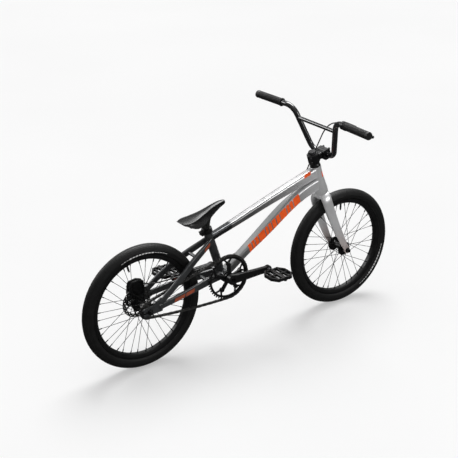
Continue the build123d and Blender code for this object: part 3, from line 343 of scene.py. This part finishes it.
def smooth_by_angle(piece, degrees):
    """Keeps edges sharper than this crisp."""
    mesh = piece.data
    limit = math.radians(degrees)
    normals = {}
    for polygon in mesh.polygons:
        for key in polygon.edge_keys:
            normals.setdefault(key, []).append(polygon.normal.copy())
    sharp = mesh.attributes.new("sharp_edge", "BOOLEAN", "EDGE")
    for edge in mesh.edges:
        pair = normals.get(edge.key, [])
        if len(pair) == 2 and pair[0].angle(pair[1], 0.0) > limit:
            sharp.data[edge.index].value = True


def catmull(points, steps):
    """Points of a smooth curve through the rows of numbers given."""
    result = []
    last = len(points) - 1
    for i in range(last):
        rows = [points[max(i - 1, 0)], points[i], points[i + 1], points[min(i + 2, last)]]
        for s in range(steps):
            t = s / steps
            row = []
            for a, b, c, d in zip(*rows):
                row.append(0.5 * (2 * b + (c - a) * t + (2 * a - 5 * b + 4 * c - d) * t * t
                                  + (3 * b - a - 3 * c + d) * t * t * t))
            result.append(tuple(row))
    result.append(points[-1])
    return result


# ---------------------------------------------------------------- tyres

TREAD_PITCHES = 132
TREAD_DEPTH = 0.0009
TREAD_EDGE = 58
# How far round the tyre the blocks lean by the tread's edge, in pitches
CHEVRON = 0.42
# One pitch round the tyre: place in the pitch, and whether a block stands there
CELL = [(0.0, 0), (0.13, 0), (0.17, 1), (0.96, 1)]
# Half section: (angle from the tread's crown in degrees, part of the tread, height in mm)
LAND, RIB, GROOVE, WALL = range(4)
HALF_SECTION = [
    (0, RIB, 0), (9, RIB, 0), (10.5, GROOVE, 0), (13, GROOVE, 0), (14.5, LAND, 0),
    (24, LAND, 0), (25.5, GROOVE, 0), (28, GROOVE, 0), (29.5, LAND, 0), (40, LAND, 0),
    (41.5, GROOVE, 0), (44, GROOVE, 0), (45.5, LAND, 0), (TREAD_EDGE, LAND, 0),
    (61, WALL, -0.8), (68, WALL, -0.9), (76, WALL, -0.7), (84, WALL, -0.7), (85, WALL, -0.2),
    (87, WALL, -0.2), (88, WALL, -0.7), (98, WALL, -0.7), (108, WALL, -0.6), (116, WALL, -0.3),
    (119, WALL, -0.1), (123, WALL, -0.1), (126, WALL, -0.5), (129, WALL, -0.6),
]
# The tyre's inside, on the same terms
INSIDE = [(angle, WALL, -3.2) for angle in range(120, -121, -30)]
# How far in from the full section the printed bars lie, just proud of the sidewall
BAR_INSET = 0.00045
# Each bar: length and gap in degrees of wheel, inner and outer edge in degrees round the section
FINE_BARS = [(2.2, 0.9, 100, 105)] * 5
WIDE_BARS = [(2.6, 0.9, 97, 109)] * 8
SIDEWALL_BARS = FINE_BARS + WIDE_BARS + FINE_BARS[:3]
# Where the bars start round each wheel, in degrees
BARS_START = {"front": -62, "rear": 62}


def tyre_section():
    """The whole section, inside and out."""
    left = [(-angle, kind, lift) for angle, kind, lift in reversed(HALF_SECTION[1:])]
    return left + HALF_SECTION + INSIDE


def tyre_piece(name, body, centre_x):
    """A tyre with a centre rib and rows of leaning blocks."""
    loop = tyre_section()
    vertices = []
    for pitch in range(TREAD_PITCHES):
        for part, raised in CELL:
            for angle, kind, lift in loop:
                on_tread = kind != WALL and abs(angle) <= TREAD_EDGE
                slant = CHEVRON * abs(angle) / TREAD_EDGE if on_tread else CHEVRON
                turn = 2 * math.pi * (pitch + part + slant) / TREAD_PITCHES
                radius = TYRE_SECTION + lift / 1000
                if kind == GROOVE or (kind == LAND and not raised):
                    radius -= TREAD_DEPTH
                a = math.radians(angle)
                out = TYRE_MID + radius * math.cos(a)
                vertices.append((
                    centre_x + out * math.cos(turn),
                    radius * math.sin(a),
                    WHEEL_Z + out * math.sin(turn),
                ))
    faces = ring_faces(TREAD_PITCHES * len(CELL), len(loop))
    piece = mesh_piece(name, vertices, faces, TYRE_RUBBER, body)
    smooth_by_angle(piece, 34)
    return piece


def sidewall_bars(name, body, centre_x, start, side):
    """Short pale bars printed along an arc of the sidewall."""
    vertices, faces = [], []
    at = start
    for length, gap, inner_angle, outer_angle in SIDEWALL_BARS:
        first = len(vertices)
        steps = max(2, int(length * 2))
        rows = []
        for i in range(steps + 1):
            turn = math.radians(at + length * i / steps)
            for section_angle in (inner_angle, (inner_angle + outer_angle) / 2, outer_angle):
                a = math.radians(section_angle)
                radius = TYRE_SECTION - BAR_INSET
                out = TYRE_MID + radius * math.cos(a)
                rows.append((
                    centre_x + out * math.cos(turn),
                    side * radius * math.sin(a),
                    WHEEL_Z + out * math.sin(turn),
                ))
        vertices += rows
        faces += ring_faces(steps + 1, 3, False, False, first)
        at += length + gap
    return mesh_piece(name, vertices, faces, TYRE_MARK, body)


for name, body, x in WHEELS:
    tyre = tyre_piece(f"{name}_tyre_tread", body, x)
    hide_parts(f"{name}_tyre")

for name, body, x in WHEELS:
    for side, label in SIDES:
        sidewall_bars(f"{name}_sidewall_bars_{label}", body, x, BARS_START[name], side)


# ---------------------------------------------------------------- grips

# Radii of the grip: its bore, the bottoms and tops of its ribs, and its collar; then the rib pitch
GRIP_BORE, RIB_CORE, RIB_CREST, GRIP_COLLAR = 0.0112, 0.0141, 0.0155, 0.0172
RIB_PITCH = 0.0034


def end_points(node, side):
    """The middle of each end of a bar-shaped CAD solid on one side of the bike."""
    points = [v.co for v in NODES[node].data.vertices if v.co.y * side > 0]
    low = min(abs(p.y) for p in points)
    high = max(abs(p.y) for p in points)
    ends = []
    for level in (low, high):
        near = [p for p in points if abs(abs(p.y) - level) < 0.0035]
        xs = [p.x for p in near]
        zs = [p.z for p in near]
        ends.append(Vector(((min(xs) + max(xs)) / 2, side * level, (min(zs) + max(zs)) / 2)))
    return ends


def turned_piece(name, profile, start, end, look, body, segments=40):
    """A closed ring turned about the line from start to end.

    The profile's points are (distance along, radius).
    """
    way = (end - start).normalized()
    across = way.cross(Vector((0, 0, 1))).normalized()
    up = across.cross(way)
    vertices = []
    for i in range(segments):
        turn = 2 * math.pi * i / segments
        out = across * math.cos(turn) + up * math.sin(turn)
        for along, radius in profile:
            vertices.append(start + way * along + out * radius)
    return mesh_piece(name, vertices, ring_faces(segments, len(profile)), look, body)


def grip_profile(length):
    """Ribs between a low collar and a plain end."""
    profile = [(0.0, GRIP_BORE), (0.0, 0.0160), (0.0008, GRIP_COLLAR), (0.0032, GRIP_COLLAR),
               (0.0042, 0.0150)]
    ribs = int((length - 0.016) / RIB_PITCH)
    for k in range(ribs):
        at = 0.006 + k * RIB_PITCH
        profile += [(at, RIB_CORE), (at + 0.0008, RIB_CREST), (at + 0.0021, RIB_CREST),
                    (at + 0.0029, RIB_CORE)]
    profile += [(length - 0.006, 0.0156), (length - 0.0012, 0.0160), (length, 0.0150),
                (length, GRIP_BORE)]
    return profile


for side, label in ((1, "left"), (-1, "right")):
    inner_end, outer_end = end_points("grips", side)
    length = (outer_end - inner_end).length
    grip = turned_piece(f"grip_{label}_ribbed", grip_profile(length), inner_end, outer_end,
                        GRIP_RUBBER, "steering_body")
    smooth_by_angle(grip, 50)
    if side > 0:
        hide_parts("grips")


# ---------------------------------------------------------------- saddle

# Stations along the CAD cover, nose first:
# (x, half width at the ridge, its height, half width of the skirt, its lower edge)
SADDLE = [
    (-0.099, 0.0065, 0.5885, 0.0075, 0.581),
    (-0.106, 0.0085, 0.5905, 0.0105, 0.577),
    (-0.125, 0.0105, 0.5885, 0.0135, 0.570),
    (-0.145, 0.0120, 0.5835, 0.0160, 0.558),
    (-0.165, 0.0140, 0.5770, 0.0195, 0.546),
    (-0.185, 0.0170, 0.5695, 0.0260, 0.535),
    (-0.205, 0.0205, 0.5625, 0.0335, 0.527),
    (-0.225, 0.0255, 0.5565, 0.0405, 0.522),
    (-0.245, 0.0300, 0.5515, 0.0455, 0.521),
    (-0.262, 0.0330, 0.5485, 0.0462, 0.525),
    (-0.275, 0.0335, 0.5465, 0.0440, 0.531),
    (-0.288, 0.0300, 0.5445, 0.0375, 0.5365),
    (-0.2965, 0.0235, 0.5425, 0.0285, 0.5385),
]
# How far each rounded end stands out past the last station
SADDLE_END = 0.0035


def saddle_half(half, top, skirt, low):
    """Half of a section: crown, ridge, hollow skirt, lower edge and underside."""
    drop = top - low
    belly = skirt - half
    return [
        (0.0, top + 0.0020), (half * 0.35, top + 0.0017), (half * 0.65, top + 0.0008),
        (half * 0.85, top - 0.0001), (half * 0.955, top - 0.0003), (half, top - 0.0010),
        (half + 0.0006, top - 0.0024), (half + belly * 0.08, top - drop * 0.22),
        (half + belly * 0.22, top - drop * 0.42), (half + belly * 0.46, top - drop * 0.64),
        (half + belly * 0.76, top - drop * 0.84), (half + belly * 0.95, top - drop * 0.95),
        (skirt, low + 0.0006), (skirt - 0.0012, low - 0.0002), (skirt - 0.0030, low + 0.0010),
        (skirt * 0.6, low + min(0.004, drop * 0.2)),
    ]


def saddle_piece():
    """A slim racing saddle's padded shell, closed at the nose and the tail."""
    stations = catmull(SADDLE, 4)
    vertices = []
    for x, half, top, skirt, low in stations:
        right = saddle_half(half, top, skirt, low)
        left = [(-y, z) for y, z in reversed(right[1:])]
        loop = right + [(0.0, low + 0.004)] + left
        vertices += [(x, y, z) for y, z in loop]
    count = len(vertices) // len(stations)
    faces = ring_faces(len(stations), count, close_rings=False)
    for base, flip in ((0, False), ((len(stations) - 1) * count, True)):
        cap = list(range(base, base + count))
        centre = len(vertices)
        middle = sum((Vector(vertices[i]) for i in cap), Vector()) / count
        reach = SADDLE_END if base == 0 else -SADDLE_END
        vertices.append((middle.x + reach, 0.0, middle.z))
        for j in range(count):
            a, b = cap[j], cap[(j + 1) % count]
            faces.append((b, a, centre) if not flip else (a, b, centre))
    piece = mesh_piece("saddle_shell", vertices, faces, SADDLE_SKIN, None)
    subdivide = piece.modifiers.new("smooth", "SUBSURF")
    subdivide.levels = subdivide.render_levels = 1
    bpy.context.view_layer.objects.active = piece
    piece.select_set(True)
    bpy.ops.object.modifier_apply(modifier="smooth")
    piece.data.polygons.foreach_set("use_smooth", [True] * len(piece.data.polygons))
    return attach(piece, "saddle_body")


saddle = saddle_piece()
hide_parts("saddle_cover")


# ---------------------------------------------------------------- fork

# The steering axis: its angle, and how far the front axle stands ahead of it
HEAD_ANGLE = math.radians(74)
FORK_OFFSET = 0.024
STEER_UP = Vector((-math.cos(HEAD_ANGLE), 0, math.sin(HEAD_ANGLE)))
STEER_AHEAD = Vector((math.sin(HEAD_ANGLE), 0, math.cos(HEAD_ANGLE)))
STEER_FOOT = Vector((WHEEL_X, 0, WHEEL_Z)) - STEER_AHEAD * FORK_OFFSET


def at_steer(ahead, side, height):
    """A point given in mm from the steering axis and along it."""
    return STEER_FOOT + (STEER_AHEAD * ahead + Vector((0, side, 0)) + STEER_UP * height) / 1000


# (ahead, side, height, thickness, depth) in mm from the middle of the crown down one leg
FORK_ARCH = [
    (1.0, 0, 273, 28, 47),
    (0.5, 13, 272.5, 27, 46.5),
    (-2, 25, 269, 25.5, 45.5),
    (-5.5, 34, 261, 23, 44),
    (-8, 40, 248, 20.5, 43),
    (-8, 42.5, 230, 18.5, 42),
    (-7, 44.5, 205, 17, 41),
    (-2, 48, 150, 16, 37),
    (5, 51, 95, 15, 33),
    (13, 53.5, 45, 13.5, 29),
    (18, 54.2, 24, 11, 27),
    (22.5, 53.2, 12.5, 7, 26),
    (24, 53, 2, 6.2, 27),
    (24.5, 53, -9, 6, 22),
    (25, 53, -15, 5.5, 12),
]
FORK_CORNERS = 32
# Power that squares off the round section a little; 1 is an ellipse
FORK_SQUARE = 0.72
# (radius, height) in mm of the collar between the crown and the head tube
FORK_COLLAR = [(14.6, 262), (24, 262), (26.5, 272), (27.8, 281), (27.8, 288.2), (14.6, 288.2)]
COLLAR_TURNS = 48


def fork_piece():
    """Both legs and the crown as one swept arch, with a collar under the head tube."""
    half = catmull(FORK_ARCH, 5)
    line = [(a, -s, h, t, d) for a, s, h, t, d in half[:0:-1]] + half
    vertices = []
    for i, (ahead, side, height, thickness, depth) in enumerate(line):
        before, after = line[max(i - 1, 0)], line[min(i + 1, len(line) - 1)]
        way = Vector((after[1] - before[1], after[2] - before[2])).normalized()
        for j in range(FORK_CORNERS):
            turn = 2 * math.pi * j / FORK_CORNERS
            c, s = math.cos(turn), math.sin(turn)
            u = depth / 2 * math.copysign(abs(c) ** FORK_SQUARE, c)
            v = thickness / 2 * math.copysign(abs(s) ** FORK_SQUARE, s)
            vertices.append(at_steer(ahead + u, side - way.y * v, height + way.x * v))
    faces = ring_faces(len(line), FORK_CORNERS, close_rings=False)
    faces.append(tuple(range(FORK_CORNERS)))
    faces.append(tuple(range((len(line) - 1) * FORK_CORNERS, len(line) * FORK_CORNERS)))
    first = len(vertices)
    for i in range(COLLAR_TURNS):
        turn = 2 * math.pi * i / COLLAR_TURNS
        for radius, height in FORK_COLLAR:
            vertices.append(at_steer(radius * math.cos(turn), radius * math.sin(turn), height))
    faces += ring_faces(COLLAR_TURNS, len(FORK_COLLAR), first=first)
    piece = mesh_piece("fork_shell", vertices, faces, PAINT_PALE, "steering_body")
    outward(piece)
    smooth_by_angle(piece, 50)
    return piece


fork = fork_piece()
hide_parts("fork_crown", "fork_legs")


# ---------------------------------------------------------------- caliper fins

# Outline of one fin along the top of the rear brake caliper, as (x, z)
FIN = [(-0.509, 0.314), (-0.5125, 0.3195), (-0.5005, 0.3405), (-0.472, 0.3450),
       (-0.449, 0.3375), (-0.4475, 0.328), (-0.470, 0.334), (-0.496, 0.330)]
FIN_MIDDLES = (0.0300, 0.0355, 0.0465, 0.0520)
FIN_HALF = 0.0010


def fin_piece():
    """Four upright fins side by side."""
    vertices, faces = [], []
    for middle in FIN_MIDDLES:
        first = len(vertices)
        for y in (middle - FIN_HALF, middle + FIN_HALF):
            vertices += [(x, y, z) for x, z in FIN]
        faces += ring_faces(2, len(FIN), close_rings=False, first=first)
        faces.append(tuple(range(first, first + len(FIN))))
        faces.append(tuple(range(first + len(FIN), first + 2 * len(FIN))))
    piece = mesh_piece("caliper_fins", vertices, faces, BLACK_ALLOY, "frame_body",
                       smooth=False)
    outward(piece)
    return piece


fin_piece()


# ---------------------------------------------------------------- graphics

# How far a printed shape stands off the paint
PRINT_LIFT = 0.00035
# How far outside the surface a ray starts
RAY_START = 0.2

# The line along the down tube that the leaning blocks follow
DOWN_LOW = Vector((0.002, 0, 0.3590))
DOWN_HIGH = Vector((0.248, 0, 0.5185))
# Relative widths of the blocks and of the gap between them
BLOCKS = [11, 9, 11, 24, 9, 11, 14, 12, 24, 10, 11, 24]
BLOCK_GAP = 3.2
BLOCK_ROWS = 14
# Lower edge and, by side, upper edge across the tube; and how far the upper edge leans ahead
BLOCK_LOW = -0.0225
BLOCK_HIGH = {-1: 0.0060, 1: -0.0030}
BLOCK_LEAN = 0.010
# The way in which the blocks face: parts along the tube's own up and out to the side
FACING_UP, FACING_OUT = 0.62, 0.785

# Plain patches: name, CAD node, corners as (x, z), and look
PATCHES = [
    ("top_tube_tab", "top_tube",
     [(0.272, 0.5985), (0.304, 0.6085), (0.309, 0.6215), (0.276, 0.6120)], ORANGE_GLOWING),
    ("head_tube_tab", "head_tube",
     [(0.3625, 0.588), (0.3700, 0.588), (0.3655, 0.611), (0.3585, 0.611)], ORANGE_GLOWING),
    ("seatstay_tab", "seatstays",
     [(-0.212, 0.412), (-0.184, 0.428), (-0.180, 0.441), (-0.208, 0.426)], RUST_ORANGE),
    ("chainstay_bar_front", "chainstays",
     [(-0.318, 0.2660), (-0.276, 0.2715), (-0.272, 0.286), (-0.313, 0.281)], RUST_ORANGE),
    ("chainstay_bar_rear", "chainstays",
     [(-0.372, 0.2595), (-0.324, 0.2655), (-0.319, 0.280), (-0.366, 0.274)], RUST_ORANGE),
]
PATCH_STEPS = 6


def surface_of(node):
    mesh = NODES[node].data
    return BVHTree.FromPolygons([v.co for v in mesh.vertices],
                                [tuple(p.vertices) for p in mesh.polygons])


def lay_grid(tree, columns, rows, ray, lift, vertices, faces):
    """Adds a grid laid on a surface, less the quads that run off it.

    ray(i, j) gives a ray's start and way, and lift(normal) the way off the surface.
    """
    grid = {}
    for i in range(columns + 1):
        for j in range(rows + 1):
            hit, normal, _, _ = tree.ray_cast(*ray(i, j))
            if hit is not None:
                grid[i, j] = len(vertices)
                vertices.append(hit + lift(normal) * PRINT_LIFT)
    for i in range(columns):
        for j in range(rows):
            cell = [(i, j), (i + 1, j), (i + 1, j + 1), (i, j + 1)]
            if all(key in grid for key in cell):
                faces.append([grid[key] for key in cell])


def patch(name, node, corners, side, look):
    """One flat four-cornered shape laid on a CAD surface from one side."""
    outside = Vector((0, side, 0))
    a, b, c, d = [Vector((x, 0, z)) for x, z in corners]

    def ray(i, j):
        u, v = i / PATCH_STEPS, j / PATCH_STEPS
        return a.lerp(b, u).lerp(d.lerp(c, u), v) + outside * RAY_START, -outside

    vertices, faces = [], []
    lay_grid(surface_of(node), PATCH_STEPS, PATCH_STEPS, ray, lambda normal: outside,
             vertices, faces)
    if faces:
        mesh_piece(name, vertices, faces, look, "frame_body")


def tube_bars(name, side):
    """Leaning blocks along the down tube, laid on its side and over its upper shoulder."""
    tree = surface_of("down_tube")
    way = (DOWN_HIGH - DOWN_LOW).normalized()
    up = Vector((-way.z, 0, way.x))
    out = up * FACING_UP + Vector((0, side * FACING_OUT, 0))
    across = up * FACING_OUT - Vector((0, side * FACING_UP, 0))
    total = sum(BLOCKS) + BLOCK_GAP * (len(BLOCKS) - 1)
    scale = (DOWN_HIGH - DOWN_LOW).length / total
    reach = BLOCK_HIGH[side] - BLOCK_LOW
    vertices, faces = [], []
    at = 0.0
    for width in BLOCKS:
        columns = max(3, width // 4)

        def ray(i, j):
            height = BLOCK_LOW + reach * j / BLOCK_ROWS
            along = (at + width * i / columns) * scale + BLOCK_LEAN * j / BLOCK_ROWS
            return DOWN_LOW + way * along + across * height + out * RAY_START, -out

        lay_grid(tree, columns, BLOCK_ROWS, ray, lambda normal: normal, vertices, faces)
        at += width + BLOCK_GAP
    return mesh_piece(name, vertices, faces, ORANGE_GLOWING, "frame_body")


for side, label in SIDES:
    tube_bars(f"down_tube_bars_{label}", side)
for side, label in SIDES:
    for name, node, corners, look in PATCHES:
        patch(f"{name}_{label}", node, corners, side, look)


# ---------------------------------------------------------------- brake hose

# The middle of the hose from the lever to the port in the down tube
HOSE_POINTS = [
    (0.3584, -0.1669, 0.8440),
    (0.3608, -0.1390, 0.8434),
    (0.357, -0.114, 0.841),
    (0.361, -0.064, 0.822),
    (0.363, -0.026, 0.786),
    (0.362, -0.001, 0.739),
    (0.358, 0.017, 0.699),
    (0.352, 0.030, 0.662),
    (0.342, 0.040, 0.626),
    (0.326, 0.042, 0.590),
    (0.302, 0.034, 0.560),
    (0.284, 0.022, 0.541),
]
HOSE_RADIUS = 0.0025


def hose_piece():
    """A round hose on one smooth line that bends between the frame and the bar."""
    curve = bpy.data.curves.new("hose_line", "CURVE")
    curve.dimensions = "3D"
    curve.bevel_depth = HOSE_RADIUS
    curve.bevel_resolution = 4
    curve.resolution_u = 8
    spline = curve.splines.new("NURBS")
    spline.points.add(len(HOSE_POINTS) - 1)
    for point, (x, y, z) in zip(spline.points, HOSE_POINTS):
        point.co = (x, y, z, 1.0)
    spline.order_u = 3
    spline.use_endpoint_u = True
    curve.use_fill_caps = True
    line = bpy.data.objects.new("hose_line", curve)
    bpy.context.scene.collection.objects.link(line)
    bpy.context.view_layer.update()
    mesh = bpy.data.meshes.new_from_object(line)
    bpy.data.objects.remove(line)
    mesh.materials.clear()
    mesh.materials.append(MOULDED)
    mesh.polygons.foreach_set("use_smooth", [True] * len(mesh.polygons))
    piece = bpy.data.objects.new("brake_hose_free", mesh)
    bpy.context.scene.collection.objects.link(piece)
    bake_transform(piece)
    return piece


hose = hose_piece()
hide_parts("brake_hose_front")


# ---------------------------------------------------------------- studio

FLOOR_GLOW = 0.41
# Grey levels of the surroundings, from straight down (0) to straight up (1)
SKY = [(0.0, 0.10), (0.48, 0.14), (0.56, 0.30), (0.80, 0.75), (1.0, 1.0)]
SKY_STRENGTH = 0.6
# Where the sun stands, its strength, and its width in degrees
SUN_FROM = Vector((0.45, 0.42, 1.0))
SUN_STRENGTH, SUN_WIDTH = 2.2, 38


def floor_material():
    """Pale matt grey that glows a little, so that the floor stays near white."""
    graph = Graph("studio_floor", Roughness=0.85, Specular_IOR_Level=0.2)
    tone = graph.noise(0.6, 2.0)
    colour = graph.ramp(tone, [(0.3, (0.49, 0.49, 0.49)), (0.7, (0.51, 0.51, 0.51))])
    graph.link(colour, graph.shader.inputs["Base Color"])
    graph.shader.inputs["Emission Color"].default_value = (1, 1, 1, 1)
    graph.shader.inputs["Emission Strength"].default_value = FLOOR_GLOW
    return graph.material


def studio_world():
    """Surroundings that go from dark below to white above."""
    world = bpy.data.worlds.new("studio")
    world.use_nodes = True
    nodes, links = world.node_tree.nodes, world.node_tree.links
    background = nodes["Background"]
    background.inputs["Strength"].default_value = SKY_STRENGTH
    coordinates = nodes.new("ShaderNodeTexCoord")
    split = nodes.new("ShaderNodeSeparateXYZ")
    raised = nodes.new("ShaderNodeMapRange")
    raised.inputs["From Min"].default_value = -1.0
    ramp = nodes.new("ShaderNodeValToRGB")
    links.new(coordinates.outputs["Generated"], split.inputs["Vector"])
    links.new(split.outputs["Z"], raised.inputs["Value"])
    links.new(raised.outputs["Result"], ramp.inputs["Fac"])
    links.new(ramp.outputs["Color"], background.inputs["Color"])
    while len(ramp.color_ramp.elements) < len(SKY):
        ramp.color_ramp.elements.new(0.5)
    for element, (at, level) in zip(ramp.color_ramp.elements, SKY):
        element.position = at
        element.color = (level, level, level, 1)
    return world


def place_light(name, light, place, target):
    """Stands a light somewhere and points it at a target."""
    lamp = bpy.data.objects.new(name, light)
    lamp.location = place
    lamp.rotation_euler = (Vector(target) - Vector(place)).to_track_quat("-Z", "Y").to_euler()
    bpy.context.scene.collection.objects.link(lamp)
    return lamp


def softbox(name, place, target, size, power, size_y=None):
    """A large soft light that shows only in gloss, not on matt surfaces."""
    light = bpy.data.lights.new(name, "AREA")
    light.energy = power
    light.shape = "RECTANGLE"
    light.size = size
    light.size_y = size_y or size
    place_light(name, light, place, target).visible_diffuse = False


bpy.ops.mesh.primitive_plane_add(size=60, location=(0, 0, -0.0003))
floor = bpy.context.object
floor.name = "studio_floor"
floor.data.materials.append(floor_material())
floor.visible_glossy = False

bpy.context.scene.view_settings.view_transform = "Standard"
bpy.context.scene.world = studio_world()

softbox("key_overhead", (0.9, 0.9, 3.2), (0, 0, 0.3), 2.6, 95, 1.0)
softbox("fill_right", (1.6, -3.2, 2.4), (0, 0, 0.4), 1.2, 40)
softbox("rim_left", (-1.8, 2.8, 2.2), (0, 0, 0.4), 1.2, 40)

sun = bpy.data.lights.new("sun", "SUN")
sun.energy = SUN_STRENGTH
sun.angle = math.radians(SUN_WIDTH)
place_light("sun", sun, (0, 0, 0), -SUN_FROM)

# Camera: the direction it looks in, where it stands, how far it rolls, and its lens in mm
LOOK = Vector((0.5197, 0.7600, -0.3902)).normalized()
CAMERA_PLACE = Vector((-2.3674, -3.3480, 2.1833))
ROLL = math.radians(-0.65)
LENS = 89.78
camera_data = bpy.data.cameras.new("camera")
camera_data.lens = LENS
camera_data.sensor_width = 36.0
camera_data.clip_end = 100.0
camera = bpy.data.objects.new("camera", camera_data)
flat_right = LOOK.cross(Vector((0, 0, 1))).normalized()
flat_up = flat_right.cross(LOOK)
right = flat_right * math.cos(ROLL) + flat_up * math.sin(ROLL)
up = flat_up * math.cos(ROLL) - flat_right * math.sin(ROLL)
pose = Matrix((right, up, -LOOK)).transposed().to_4x4()
pose.translation = CAMERA_PLACE
camera.matrix_world = pose
bpy.context.scene.collection.objects.link(camera)
bpy.context.scene.camera = camera
